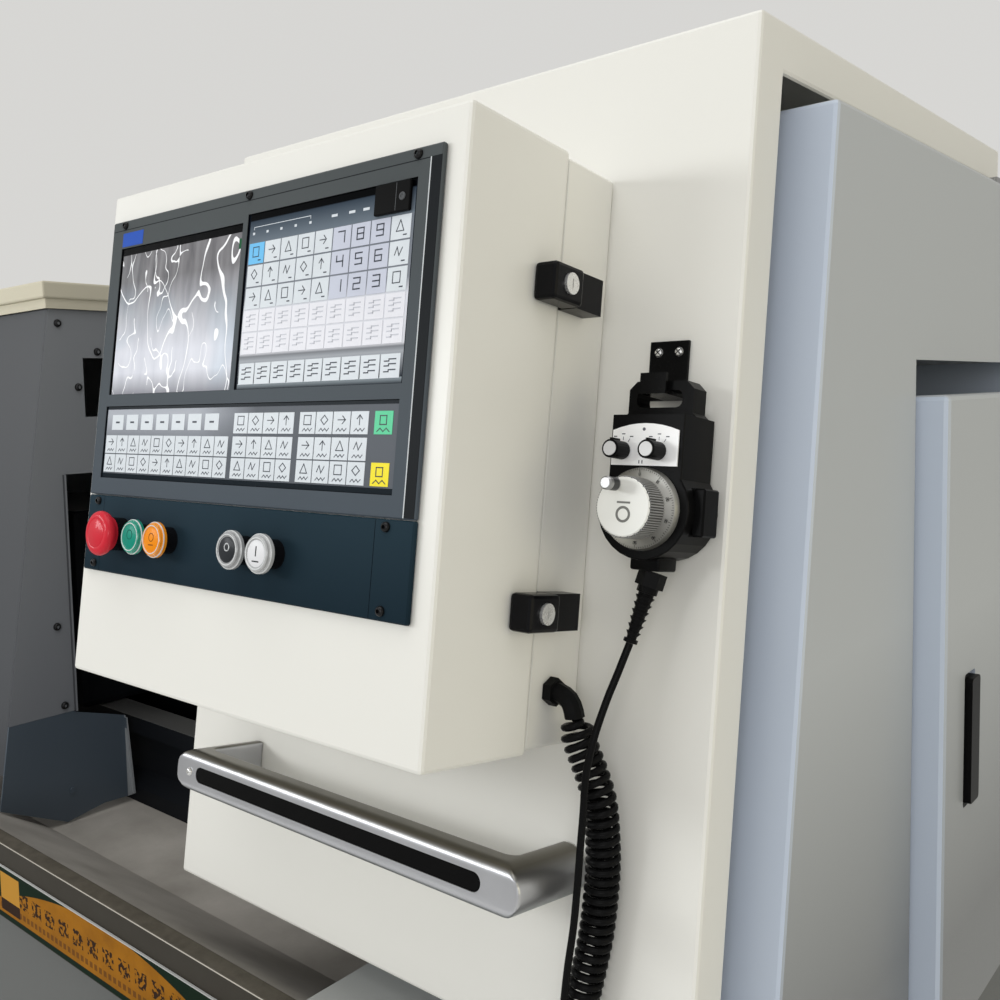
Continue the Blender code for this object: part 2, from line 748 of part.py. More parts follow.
def make_tray():
    """Folded chip tray with a slanted front pan, and the bare sign plate on its front lip."""
    wall = TRAY_WALL
    low = TRAY_FLAT_Z - wall
    lip = TRAY_FRONT_Y + wall
    outer = [(TRAY_FRONT_Y, TRAY_LIP_Z), (TRAY_FRONT_Y, TRAY_RIM_Z), (TRAY_BACK_Y, TRAY_RIM_Z),
             (TRAY_BACK_Y, low), (TRAY_FLAT_Y - wall / 2, low), (TRAY_LEDGE_Y - wall / 2,
             TRAY_RIM_Z - wall), (lip, TRAY_RIM_Z - wall), (lip, TRAY_LIP_Z)]
    tray = prism("chip_tray", [outer], "X", TRAY_X, "tray_steel")
    above = TRAY_RIM_Z + OVERRUN
    inner = [(TRAY_LEDGE_Y, TRAY_RIM_Z), (TRAY_FLAT_Y, TRAY_FLAT_Z), (TRAY_BACK_Y - wall,
             TRAY_FLAT_Z), (TRAY_BACK_Y - wall, above), (TRAY_LEDGE_Y, above)]
    cut(tray, prism("tray_room", [inner], "X", (TRAY_X[0] + wall, TRAY_X[1] - wall)))
    sign_y = TRAY_FRONT_Y - GAP
    block("sign_plate", SIGN_X, (sign_y - SIGN_THICK, sign_y), SIGN_Z, "sign_green")


def make_end_cover():
    """Light sheet cover over the right end of the tray."""
    cover = block("tray_end_cover", END_COVER_X, END_COVER_Y, END_COVER_Z, "light_grey_paint")
    x = (END_COVER_X[0] + SHEET, END_COVER_X[1] - SHEET)
    y = (END_COVER_Y[0] + SHEET, END_COVER_Y[1] - SHEET)
    z = (END_COVER_Z[0] - OVERRUN, END_COVER_Z[1] - SHEET)
    cut(cover, block("end_cover_room", x, y, z))
    fuse(cover, block("end_cover_tongue", TONGUE_X, TONGUE_Y, TONGUE_Z))


def make_bed():
    """Cast bed with two raised ways over a trough."""
    low = TRAY_FLAT_Z + GAP
    front, back = BED_Y
    outline = [
        (BED_FOOT_Y[0], low), (BED_FOOT_Y[1], low), (BED_FOOT_Y[1], BED_FOOT_TOP),
        (back - BED_NECK, BED_FOOT_TOP + BED_NECK), (back - BED_NECK, BED_TOP - BED_WAY_DEEP
         - BED_NECK / 2), (back, BED_TOP - BED_WAY_DEEP), (back, BED_TOP), (back - BED_WAY,
         BED_TOP), (back - BED_WAY, BED_TROUGH_Z), (front + BED_WAY, BED_TROUGH_Z),
        (front + BED_WAY, BED_TOP), (front, BED_TOP), (front, BED_TOP - BED_WAY_DEEP),
        (front + BED_NECK, BED_TOP - BED_WAY_DEEP - BED_NECK / 2),
        (front + BED_NECK, BED_FOOT_TOP + BED_NECK), (BED_FOOT_Y[0], BED_FOOT_TOP)]
    prism("bed", [outline], "X", BED_X, "cast_iron")


def make_headstock():
    """Cast headstock with a round nose and the through hole of the spindle."""
    head = block("headstock", HEAD_X, HEAD_Y, HEAD_Z, "cast_iron")
    rounded_edges(head, HEAD_EDGE)
    centre = (SPINDLE_Y, SPINDLE_Z)
    nose = rod("head_nose", HEAD_NOSE_RADIUS, (HEAD_X[1] - OVERRUN, *centre),
               (HEAD_NOSE_END, *centre), ROUND_MEDIUM)
    fuse(head, nose)
    hole = rod("head_hole", HEAD_BORE, (HEAD_X[0] - OVERRUN, *centre),
               (HEAD_NOSE_END + OVERRUN, *centre), ROUND_MEDIUM)
    cut(head, hole)


def make_spindle():
    """Hollow spindle with its nose flange and rear belt pulley, turned as one piece."""
    outside = [(SPINDLE_BORE, SPINDLE_FLANGE_X[1]), (SPINDLE_FLANGE_RADIUS, SPINDLE_FLANGE_X[1]),
               (SPINDLE_FLANGE_RADIUS, SPINDLE_FLANGE_X[0]), (SPINDLE_RADIUS, SPINDLE_FLANGE_X[0]),
               (SPINDLE_RADIUS, PULLEY_X[1])]
    pitch = (PULLEY_X[1] - PULLEY_X[0]) / PULLEY_GROOVES
    deep = PULLEY_RADIUS - PULLEY_GROOVE_DEEP
    outside.append((PULLEY_RADIUS, PULLEY_X[1]))
    for i in range(PULLEY_GROOVES):
        top = PULLEY_X[1] - pitch * i
        edge, bottom, far_edge = [top - pitch * part for part in GROOVE_SHARES]
        outside += [(PULLEY_RADIUS, edge), (deep, bottom), (PULLEY_RADIUS, far_edge)]
    outside += [(PULLEY_RADIUS, PULLEY_X[0]), (SPINDLE_RADIUS, PULLEY_X[0]),
                (SPINDLE_RADIUS, SPINDLE_BACK), (SPINDLE_BORE, SPINDLE_BACK),
                (SPINDLE_BORE, SPINDLE_FLANGE_X[1])]
    turned("spindle", outside, ROUND_MEDIUM, (0, SPINDLE_Y, SPINDLE_Z), (1, 0, 0),
           "machined_steel")


def jaw_turn(index):
    angle = math.radians(90) + index * math.tau / 3
    return Matrix.Translation((0, SPINDLE_Y, SPINDLE_Z)) @ Matrix.Rotation(angle, 4, "X")


def make_chuck():
    """Three-jaw chuck: a turned body with three slots, and a stepped jaw in each."""
    back, front = CHUCK_X
    profile = [(CHUCK_BORE, front), (CHUCK_RADIUS - CHUCK_STEP, front),
               (CHUCK_RADIUS, front - CHUCK_STEP), (CHUCK_RADIUS, back), (CHUCK_BORE, back),
               (CHUCK_BORE, front)]
    start = (0, SPINDLE_Y, SPINDLE_Z)
    body = turned("chuck", profile, ROUND_LARGE, start, (1, 0, 0), "machined_steel")
    half = JAW_SLOT_WIDTH / 2
    jaw_half = JAW_WIDTH / 2
    slots = bmesh.new()
    for index in range(3):
        piece = bmesh.new()
        add_block(piece, (front - JAW_SLOT_DEEP, front + OVERRUN), (JAW_INNER / 2, CHUCK_RADIUS
                  + OVERRUN), (-half, half))
        piece.transform(jaw_turn(index))
        mesh = bpy.data.meshes.new("slot")
        piece.to_mesh(mesh)
        piece.free()
        slots.from_mesh(mesh)
    cut(body, add("chuck_slots", slots, None, MACHINE))
    low = front - JAW_SLOT_DEEP + GAP
    outline = [(JAW_INNER, low), (JAW_OUTER, low), (JAW_OUTER, front + JAW_LOW),
               (JAW_STEP, front + JAW_LOW), (JAW_STEP, front + JAW_TALL),
               (JAW_INNER, front + JAW_TALL)]
    flat = [(x, radius) for radius, x in outline]
    for index in range(3):
        jaw = prism(f"chuck_jaw_{index + 1}", [flat], "Z", (-jaw_half, jaw_half),
                    "machined_steel", MACHINE)
        jaw.data.transform(jaw_turn(index))


def make_motor():
    """Square spindle motor on a shoe behind the headstock."""
    half = MOTOR_HALF
    x = MOTOR_X
    motor = block("spindle_motor", x, (MOTOR_Y - half, MOTOR_Y + half),
                  (MOTOR_Z - half, MOTOR_Z + half), "dark_grey_paint")
    rounded_edges(motor, HEAD_EDGE, 1)
    shoe = block("motor_shoe", (x[0] + MOTOR_SHOE, x[1] - MOTOR_SHOE),
                 (MOTOR_Y - MOTOR_SHOE, MOTOR_Y + MOTOR_SHOE),
                 (TRAY_FLAT_Z + GAP, MOTOR_Z - half + OVERRUN))
    fuse(motor, shoe)


def cover_outline(z, w, back, inset):
    """Side view of a cover with a slanted front, as y and z."""
    low, high = z[0], z[1] - inset
    return [(front_at(low, w - inset), low), (back - inset, low), (back - inset, high),
            (front_at(high, w - inset), high)]


def make_headstock_cover():
    """Sheet cover round the headstock, and the stepped top cover on it."""
    low_z = (COVER_Z, TOP_BAND_Z[0] - GAP)
    outer = cover_outline(low_z, COVER_FRONT, COVER_BACK_Y, 0)
    cover = prism("headstock_cover", [outer], "X", COVER_X, "cream_paint")
    room_z = (low_z[0] - OVERRUN, low_z[1])
    room = cover_outline(room_z, COVER_FRONT, COVER_BACK_Y, SHEET)
    cut(cover, prism("cover_room", [room], "X", (COVER_X[0] + SHEET, COVER_X[1] + OVERRUN)))
    top = block("headstock_top_cover", TOP_COVER_X, TOP_COVER_Y, TOP_COVER_Z, "cream_paint")
    rounded_edges(top, SHEET, 2)
    x = TOP_BAND_X
    y = TOP_BAND_Y
    fuse(top, block("top_band", x, y, (TOP_BAND_Z[0], TOP_COVER_Z[0] + SHEET)))
    cut(top, block("top_room", (x[0] + SHEET, x[1] - SHEET), (y[0] + SHEET, y[1] - SHEET),
                   (TOP_BAND_Z[0] - OVERRUN, TOP_COVER_Z[1] - SHEET)))


def make_side_wall():
    """Dark wall beside the chuck, with a notch for the chuck, a window and screws."""
    low, high = WALL_Z
    notch = (WALL_NOTCH_Y, WALL_NOTCH_TOP)
    front_low = front_at(low, WALL_FRONT)
    front_high = front_at(high, WALL_FRONT)
    outline = [(front_low, low), (notch[0], low), notch, (WALL_BACK_Y, notch[1]),
               (WALL_BACK_Y, high), (front_high, high)]
    hole = box_outline(WALL_WINDOW_Y, WALL_WINDOW_Z)
    wall = prism("side_wall", [outline, hole], "X", WALL_X, "dark_grey_paint")
    strip = block("wall_strip", (WALL_X[0], WALL_X[1] + WALL_STRIP),
                  (WALL_NOTCH_Y - SHEET / 2, WALL_NOTCH_Y + SHEET / 2), (low, notch[1]))
    pairs = [((WALL_X[0] + GAP, *at), (WALL_X[1] + SCREW_HEAD, *at))
             for at in spread(WALL_SCREW_SHARES, WALL_SCREW_Y, WALL_SCREW_Z)]
    fuse(wall, strip, rods("wall_screws", SCREW_RADIUS, pairs, ROUND_TINY))
    sheet = spread(GUARD_SHARES, GUARD_Y, GUARD_Z)
    guard = prism("lower_side_guard", [sheet], "X", WALL_X, "dark_grey_paint")
    (y_low, z_low), (y_high, z_high) = sheet[3], sheet[4]
    z_low, z_high = z_low + SHEET, z_high - SHEET
    edge = [(y_low - SHEET, z_low), (y_low + GAP, z_low), (y_high + GAP, z_high),
            (y_high - SHEET, z_high)]
    lip = prism("guard_lip", [edge], "X", (WALL_X[0] + GAP, WALL_X[1] + WALL_STRIP))
    at = (GUARD_SCREW_Y, GUARD_SCREW_Z)
    screw = rods("guard_screw", SCREW_RADIUS, [((WALL_X[0] + GAP, *at), (WALL_X[1] + SCREW_HEAD,
                 *at))], ROUND_TINY)
    fuse(guard, lip, screw)


def make_rear():
    """Rear guard of the work room and the rail that carries the hood."""
    guard = block("rear_guard", REAR_GUARD_X, REAR_GUARD_Y, REAR_GUARD_Z, "light_grey_paint")
    right = REAR_GUARD_X[1]
    fuse(guard, block("guard_return", (right - SHEET, right), (REAR_GUARD_Y[0],
                      ENCLOSURE_BACK_Y), REAR_GUARD_Z))
    block("hood_rail", RAIL_X, RAIL_Y, RAIL_Z, "machined_steel")


def make_enclosure():
    """Light grey enclosure at the right end, open to the work room, with the cabinet recess."""
    outer = cover_outline(ENCLOSURE_Z, ENCLOSURE_FRONT, ENCLOSURE_BACK_Y, 0)
    body = prism("right_enclosure", [outer], "X", ENCLOSURE_X, "light_grey_paint")
    rounded_edges(body, ENCLOSURE_EDGE, 2)
    room_z = (ENCLOSURE_Z[0] - OVERRUN, ENCLOSURE_Z[1])
    room = cover_outline(room_z, ENCLOSURE_FRONT, ENCLOSURE_BACK_Y, ENCLOSURE_WALL)
    inside_x = (ENCLOSURE_X[0] - OVERRUN, ENCLOSURE_X[1] - ENCLOSURE_WALL)
    far = (CLEAR_FRONT_Y, ENCLOSURE_BACK_Y + OVERRUN)
    below = (ENCLOSURE_Z[0] - OVERRUN, TRAY_CLEAR_Z)
    tray_room = block("tray_clear", (ENCLOSURE_X[0] - OVERRUN, TRAY_CLEAR_X), far, below)
    corner = block("corner_clear", (ENCLOSURE_X[0] - OVERRUN, ENCLOSURE_X[1] + OVERRUN),
                   (far[0], CORNER_CLEAR_Y), below)
    recess = block("cabinet_recess", (inside_x[1] - OVERRUN, ENCLOSURE_X[1] + OVERRUN), RECESS_Y,
                   RECESS_Z)
    cut(body, prism("enclosure_room", [room], "X", inside_x), tray_room, corner, recess)
    pin_x, pin_y = DOOR_HINGE
    arm_x = (ENCLOSURE_X[1] - ENCLOSURE_WALL / 2, pin_x)
    arm_y = (pin_y + HINGE_RADIUS - HINGE_ARM_DEEP, pin_y + HINGE_RADIUS)
    for low, high in HINGE_SPANS:
        fuse(body, block("hinge_arm", arm_x, arm_y, (low, high)),
             rod("hinge_knuckle", HINGE_RADIUS, (pin_x, pin_y, low), (pin_x, pin_y, high),
                 ROUND_TINY))


def make_cabinet():
    """Open sheet cabinet behind a folded door with a flush lever."""
    cabinet = block("electrical_cabinet", CABINET_X, CABINET_Y, CABINET_Z, "light_grey_paint")
    wall = ENCLOSURE_WALL
    cut(cabinet, block("cabinet_room", (CABINET_X[0] + wall, CABINET_X[1] + OVERRUN),
                       (CABINET_Y[0] + wall, CABINET_Y[1] - wall),
                       (CABINET_Z[0] + wall, CABINET_Z[1] - wall)))
    hinge = (*DOOR_HINGE, sum(DOOR_Z) / 2)
    door = block("cabinet_door", DOOR_X, DOOR_Y, DOOR_Z, "light_grey_paint", MACHINE, hinge)
    rounded_edges(door, DOOR_EDGE, 2)
    hollow = block("door_hollow", (DOOR_X[0] - OVERRUN, DOOR_X[1] - DOOR_SKIN),
                   (DOOR_Y[0] + DOOR_WALL, DOOR_Y[1] - DOOR_WALL),
                   (DOOR_Z[0] + DOOR_WALL, DOOR_Z[1] - DOOR_WALL))
    dish_y = (LEVER_Y[0] - LEVER_MARGIN, LEVER_Y[1] + LEVER_MARGIN)
    dish_z = (LEVER_Z[0] - LEVER_MARGIN, LEVER_Z[1] + LEVER_MARGIN)
    outline = corner_points(box_outline(dish_y, dish_z), LEVER_MARGIN)
    dish = prism("lever_dish", [outline], "X", (DOOR_X[1] - LEVER_DISH_DEEP, DOOR_X[1] + OVERRUN))
    cut(door, hollow, dish)
    x = (DOOR_X[1] - LEVER_DISH_DEEP + GAP, DOOR_X[1] + LEVER_PROUD - LEVER_DISH_DEEP / 2)
    middle = sum(LEVER_Y) / 2
    lever = prism("door_lever", [corner_points(box_outline(LEVER_Y, LEVER_Z), LEVER_MARGIN)],
                  "X", x, "black_plastic", MACHINE, (x[0], middle, LEVER_Z[1]))
    rounded_edges(lever, LEVER_MARGIN / 2, 1)


def hood_outline(skin):
    """Side view of the hood, as y and z. The skin is how far inside the outer face it lies."""
    top_z = HOOD_TOP_Z - skin
    front_low = front_point(HOOD_FRONT_V[0], -skin)
    front_top = (front_at(top_z, -skin), top_z)
    return front_low, front_top, (HOOD_BACK_Y - skin, top_z)


def make_hood():
    """Folded hood that slides along the machine: slanted front, roof and side flanges."""
    front_low, front_top, back_top = hood_outline(0)
    deep_low = front_point(HOOD_FRONT_V[0], -HOOD_SIDE_DEEP)
    deep_top = (front_at(HOOD_ROOF_SIDE_Z, -HOOD_SIDE_DEEP), HOOD_ROOF_SIDE_Z)
    outer = [front_low, deep_low, deep_top, (HOOD_BACK_Y, HOOD_ROOF_SIDE_Z), back_top, front_top]
    hood = prism("hood_shell", [outer], "X", HOOD_X, "cream_paint")
    rounded_edges(hood, HOOD_EDGE, 2)
    inner_low, inner_top, inner_back = hood_outline(SHEET)
    far_low = front_point(HOOD_FRONT_V[0] + SHEET, -HOOD_SIDE_DEEP - OVERRUN)
    start = front_point(HOOD_FRONT_V[0] + SHEET, -SHEET)
    room = [start, far_low, (HOOD_BACK_Y - SHEET, far_low[1]), inner_back, inner_top]
    inside = (HOOD_X[0] + SHEET, HOOD_X[1] - SHEET)
    cut(hood, prism("hood_room", [room], "X", inside))
    shoes = bmesh.new()
    for x in SHOE_SPANS:
        add_block(shoes, x, SHOE_Y, (SHOE_BOTTOM, HOOD_TOP_Z - SHEET / 2))
    fuse(hood, add("hood_shoes", shoes, None, MACHINE))


def make_pull_handle():
    """Aluminium pull bar with rounded corners, two arms to the hood and a black insert."""
    outer = corner_points(box_outline(HANDLE_X, (-HANDLE_W[1], HANDLE_W[1])), HANDLE_CORNER, 4)
    outer = [point for point in outer if point[1] < 0]
    outer = [(HANDLE_X[0], -HANDLE_W[0])] + [tuple(point) for point in outer]
    outer.append((HANDLE_X[1], -HANDLE_W[0]))
    inside_x = (HANDLE_X[0] + HANDLE_THICK, HANDLE_X[1] - HANDLE_THICK)
    inside_w = HANDLE_W[1] - HANDLE_THICK
    inner = corner_points(box_outline(inside_x, (-inside_w, inside_w)), HANDLE_INNER_CORNER, 2)
    inner = [tuple(point) for point in inner if point[1] < 0]
    outline = outer + [(inside_x[1], -HANDLE_W[0])] + inner[::-1] + [(inside_x[0], -HANDLE_W[0])]
    bar = prism("pull_handle", [outline], "Z", HANDLE_V, "brushed_aluminium", SLANT)
    rounded_edges(bar, HANDLE_EDGE, 2, math.radians(50))
    radius = (HANDLE_SLOT_V[1] - HANDLE_SLOT_V[0]) / 2 - FINE
    slot = corner_points(box_outline(HANDLE_SLOT_X, HANDLE_SLOT_V), radius, 4)
    floor = HANDLE_W[1] - HANDLE_SLOT_DEEP
    cut(bar, slant_prism("handle_slot", [slot], (floor, HANDLE_W[1] + OVERRUN)))
    x = (HANDLE_SLOT_X[0] + GAP, HANDLE_SLOT_X[1] - GAP)
    v = (HANDLE_SLOT_V[0] + GAP, HANDLE_SLOT_V[1] - GAP)
    insert = corner_points(box_outline(x, v), radius - GAP, 4)
    slant_prism("handle_insert", [insert], (floor + GAP, HANDLE_W[1] - INSERT_RAISE),
                "black_plastic")


def make_box():
    """Control box: a shallow rear shell on the hood and a deep lid hinged on its left edge."""
    rear = slant_block("box_rear", REAR_BOX_X, REAR_BOX_V, REAR_BOX_W, "cream_paint")
    rounded_edges(rear, BOX_EDGE, 1)
    wall = BOX_WALL
    cut(rear, slant_block("rear_room", (REAR_BOX_X[0] + wall, REAR_BOX_X[1] - wall),
                          (REAR_BOX_V[0] + wall, REAR_BOX_V[1] - wall),
                          (REAR_BOX_W[0] + wall, REAR_BOX_W[1] + OVERRUN)))
    pivot = on_slant(LID_X[0], sum(LID_V) / 2, LID_W[0])
    lid = slant_block("box_lid", LID_X, LID_V, LID_W, "cream_paint", pivot)
    rounded_edges(lid, BOX_EDGE, 2)
    room = slant_block("lid_room", (LID_X[0] + wall, LID_X[1] - wall),
                       (LID_V[0] + wall, LID_V[1] - wall), (LID_W[0] - OVERRUN, LID_W[1] - wall))
    hole = slant_block("lid_hole", LID_HOLE_X, LID_HOLE_V, (LID_W[1] - OVERRUN, LID_W[1]
                       + OVERRUN))
    cut(lid, room, hole)


def make_latches():
    """Two cam latches on the right side of the control box, with their key cylinders."""
    for name, v in zip(LATCH_NAMES, LATCH_VS):
        span = (v - LATCH_HALF, v + LATCH_HALF)
        body = slant_block(name, (LID_X[1] + GAP, LATCH_PROUD_X), span, LATCH_FRONT_W,
                           "black_metal")
        rounded_edges(body, LATCH_EDGE, 2)
        fuse(body, slant_block(name + "_foot", (REAR_BOX_X[1] + GAP, LATCH_BACK_PROUD_X), span,
                               LATCH_BACK_W))
        floor = LATCH_PROUD_X - KEY_POCKET_DEEP
        centre = on_slant(0, v, KEY_W)
        along = Vector((1, 0, 0))
        pocket = rod(name + "_pocket", KEY_RADIUS + GAP, centre + along * floor,
                     centre + along * (LATCH_PROUD_X + OVERRUN), ROUND_SMALL, None, SLANT)
        cut(body, pocket)
        end = LATCH_PROUD_X + KEY_PROUD
        key = rod(name.replace("latch", "key"), KEY_RADIUS, centre + along * (floor + GAP),
                  centre + along * end, ROUND_SMALL, "chrome", SLANT, centre + along * floor)
        thin, tall = KEY_SLOT
        cut(key, slant_block(name + "_slit", (end - KEY_SLOT_DEEP, end + OVERRUN),
                             (v - tall / 2, v + tall / 2), (KEY_W - thin / 2, KEY_W + thin / 2)))


def panel_screws(name, places, w):
    pairs = [(on_slant(*at, w - SCREW_SINK), on_slant(*at, w + PANEL_SCREW_HEAD)) for at in places]
    return rods(name, PANEL_SCREW_RADIUS, pairs, ROUND_TINY, SLANT)


def make_panel():
    """Operator panel: a bezel with its housing behind, the display, the keys and a card cover."""
    panel = slant_block("operator_panel", PANEL_X, PANEL_V, PANEL_W, "panel_grey")
    rounded_edges(panel, PANEL_EDGE, 1)
    fuse(panel, slant_block("panel_housing", HOUSING_X, HOUSING_V, HOUSING_W))
    floor = PANEL_W[1] - PANEL_RECESS
    fields = (("display", SCREEN_X, SCREEN_V, "screen_glass"), ("keypad", KEYPAD_X, KEYPAD_V,
              "key_film"), ("key_strip", STRIP_X, STRIP_V, "key_film"))
    for name, x, v, material in fields:
        cut(panel, slant_block(name + "_recess", x, v, (floor, PANEL_W[1] + OVERRUN)))
        inner_x = (x[0] + PLATE_GAP, x[1] - PLATE_GAP)
        inner_v = (v[0] + PLATE_GAP, v[1] - PLATE_GAP)
        w = (floor + GAP, floor + GAP + PLATE_THICK)
        slant_block(name, inner_x, inner_v, w, material)
    fuse(panel, panel_screws("panel_screw_heads", spread(PANEL_SCREW_SHARES, PANEL_X, PANEL_V), PANEL_W[1]))
    seat = floor + GAP + PLATE_THICK + GAP
    w = (seat, seat + CARD_COVER_THICK)
    pivot = on_slant(CARD_COVER_X[0], sum(CARD_COVER_V) / 2, w[0])
    cover = slant_block("card_cover", CARD_COVER_X, CARD_COVER_V, w, "black_plastic", pivot)
    rounded_edges(cover, PANEL_EDGE / 2, 1)


def make_switches():
    """Switch plate with its black collars, the stop button and four push buttons."""
    plate = slant_block("switch_plate", PANEL_X, SWITCH_V, PANEL_W, "panel_grey")
    rounded_edges(plate, PANEL_EDGE, 1)
    front = PANEL_W[1]
    fuse(plate, panel_screws("switch_screw_heads", spread(SWITCH_SCREW_SHARES, PANEL_X, SWITCH_V),
                             front))
    radius, long = STOP_BARREL
    at = (STOP_X, SWITCH_LINE_V)
    fuse(plate, slant_rod("stop_base", radius, at, (front - SHEET, front + long), ROUND_MEDIUM))
    pivot = on_slant(*at, STOP_HEAD_W[0])
    hollow, deep = STOP_POCKET
    top = front + long
    cut(plate, slant_rod("stop_pocket", hollow, at, (top - deep, top + OVERRUN), ROUND_SMALL))
    head = slant_rod("stop_button", STOP_HEAD_RADIUS, at, STOP_HEAD_W, ROUND_MEDIUM, "stop_red",
                     pivot)
    rounded_edges(head, LATCH_EDGE, 3)
    fuse(head, slant_rod("stop_stem", STOP_STEM, at, (STOP_STEM_BACK, STOP_HEAD_W[0] + SHEET),
                         ROUND_SMALL))
    lenses = ("lens_green", "lens_orange", "lens_clear", "lens_white")
    radius, long = BUTTON_COLLAR
    top = front + long
    for name, x, lens in zip(BUTTON_NAMES, BUTTON_XS, lenses):
        at = (x, SWITCH_LINE_V)
        floor = top - BUTTON_POCKET_DEEP
        fuse(plate, slant_rod(name + "_collar", radius, at, (front - SHEET, top), ROUND_MEDIUM))
        cut(plate, slant_rod(name + "_pocket", BUTTON_POCKET, at, (floor, top + OVERRUN),
                             ROUND_SMALL))
        pivot = on_slant(*at, BUTTON_CAP_W[0])
        cap = slant_rod(name, BUTTON_CAP_RADIUS, at, BUTTON_CAP_W, ROUND_MEDIUM, lens, pivot)
        rounded_edges(cap, PANEL_EDGE, 2)
        skirt = BUTTON_CAP_W[0] + BUTTON_SKIRT_DEEP
        cut(cap, slant_rod(name + "_skirt", BUTTON_SKIRT_RADIUS, at, (BUTTON_CAP_W[0] - OVERRUN,
                           skirt), ROUND_SMALL))
        fuse(cap, slant_rod(name + "_stem", BUTTON_STEM_RADIUS, at, (BUTTON_STEM_BACK, skirt
                            + PANEL_EDGE), ROUND_SMALL))


def make_pendant():
    """Hand pendant on its hook: case with a loop, face plate, selectors, dial and crank knob."""
    bracket = slant_block("pendant_bracket", BRACKET_X, BRACKET_V, BRACKET_W, "black_metal")
    hook = slant_block("hook_arm", HOOK_X, HOOK_V, (BRACKET_W[0] + GAP, HOOK_REACH_W))
    lip_w = (HOOK_REACH_W - SHEET, HOOK_REACH_W)
    fuse(bracket, hook, slant_block("hook_lip", HOOK_X, HOOK_LIP_V, lip_w),
         panel_screws("bracket_screws", spread(BRACKET_SCREW_SHARES, BRACKET_X, BRACKET_V),
                      BRACKET_W[1]))
    steps = 20
    shoulder = math.acos(CASE_HALF / CASE_ROUND)
    turn = math.tau - (math.pi - 2 * shoulder)
    outline = []
    for step in range(steps + 1):
        angle = shoulder - turn * step / steps
        outline.append((CASE_X + CASE_ROUND * math.cos(angle), CASE_V + CASE_ROUND
                        * math.sin(angle)))
    top = LOOP_TOP_V
    bevel = CASE_HALF - LOOP_HALF
    outline += [(CASE_X - CASE_HALF, CASE_SHOULDER_V), (CASE_X - LOOP_HALF, CASE_SHOULDER_V
                + bevel), (CASE_X - LOOP_HALF, top - LOOP_CORNER), (CASE_X - LOOP_HALF
                + LOOP_CORNER, top), (CASE_X + LOOP_HALF - LOOP_CORNER, top),
                (CASE_X + LOOP_HALF, top - LOOP_CORNER),
                (CASE_X + LOOP_HALF, CASE_SHOULDER_V + bevel),
                (CASE_X + CASE_HALF, CASE_SHOULDER_V)]
    case = slant_prism("pendant_case", [outline], CASE_W, "black_plastic")
    rounded_edges(case, CASE_EDGE, 2, math.radians(60))
    hole = corner_points(box_outline(LOOP_HOLE_X, LOOP_HOLE_V), LOOP_HOLE_ROUND)
    hole = slant_prism("loop_hole", [hole], (CASE_W[0] - OVERRUN, CASE_W[1] + OVERRUN))
    back_x = (CASE_X - CASE_ROUND - OVERRUN, CASE_X + CASE_ROUND + OVERRUN)
    back = slant_block("loop_back", back_x, (CASE_SHOULDER_V, LOOP_TOP_V + OVERRUN),
                       (CASE_W[0] - OVERRUN, LOOP_W_BACK))
    front = slant_block("loop_front", back_x, (CASE_SHOULDER_V, LOOP_TOP_V + OVERRUN),
                        (LOOP_W_FRONT, CASE_W[1] + OVERRUN))
    pocket = slant_block("enable_pocket", (ENABLE_POCKET_X, CASE_X + CASE_ROUND + OVERRUN),
                         (ENABLE_V[0] - GAP, ENABLE_V[1] + GAP),
                         (ENABLE_W[0] - GAP, ENABLE_W[1] + GAP))
    cut(case, hole, back, front, pocket)
    enable = slant_block("enable_button", ENABLE_X, ENABLE_V, ENABLE_W, "black_plastic",
                         on_slant(ENABLE_X[0], sum(ENABLE_V) / 2, sum(ENABLE_W) / 2))
    rounded_edges(enable, PANEL_EDGE, 1)
    face_w = (CASE_W[1] + GAP, CASE_W[1] + GAP + FACE_THICK)
    left, right = FACE_X
    plate = [(left, FACE_V[0]), (right, FACE_V[0])]
    for step in range(FACE_STEPS + 1):
        share = 1 - step / FACE_STEPS
        plate.append((left + (right - left) * share, FACE_V[1] - FACE_ARCH * (2 * share - 1) ** 2))
    slant_prism("pendant_face", [plate], face_w, "silver_plate")
    for name, x in zip(SELECTOR_NAMES, SELECTOR_XS):
        at = (x, SELECTOR_V)
        base = face_w[1] + GAP
        end = base + SELECTOR_LONG
        knob = slant_rod(name, SELECTOR_RADIUS, at, (base, end), ROUND_SMALL, "black_plastic",
                         on_slant(*at, base))
        rounded_edges(knob, PANEL_EDGE / 2, 1)
        width, proud = SELECTOR_POINTER
        pointer = slant_block(name + "_pointer", (x - width / 2, x + width / 2),
                              (SELECTOR_V, SELECTOR_V + SELECTOR_RADIUS + proud),
                              (base + SELECTOR_LONG / 3, end - proud))
        fuse(knob, pointer)


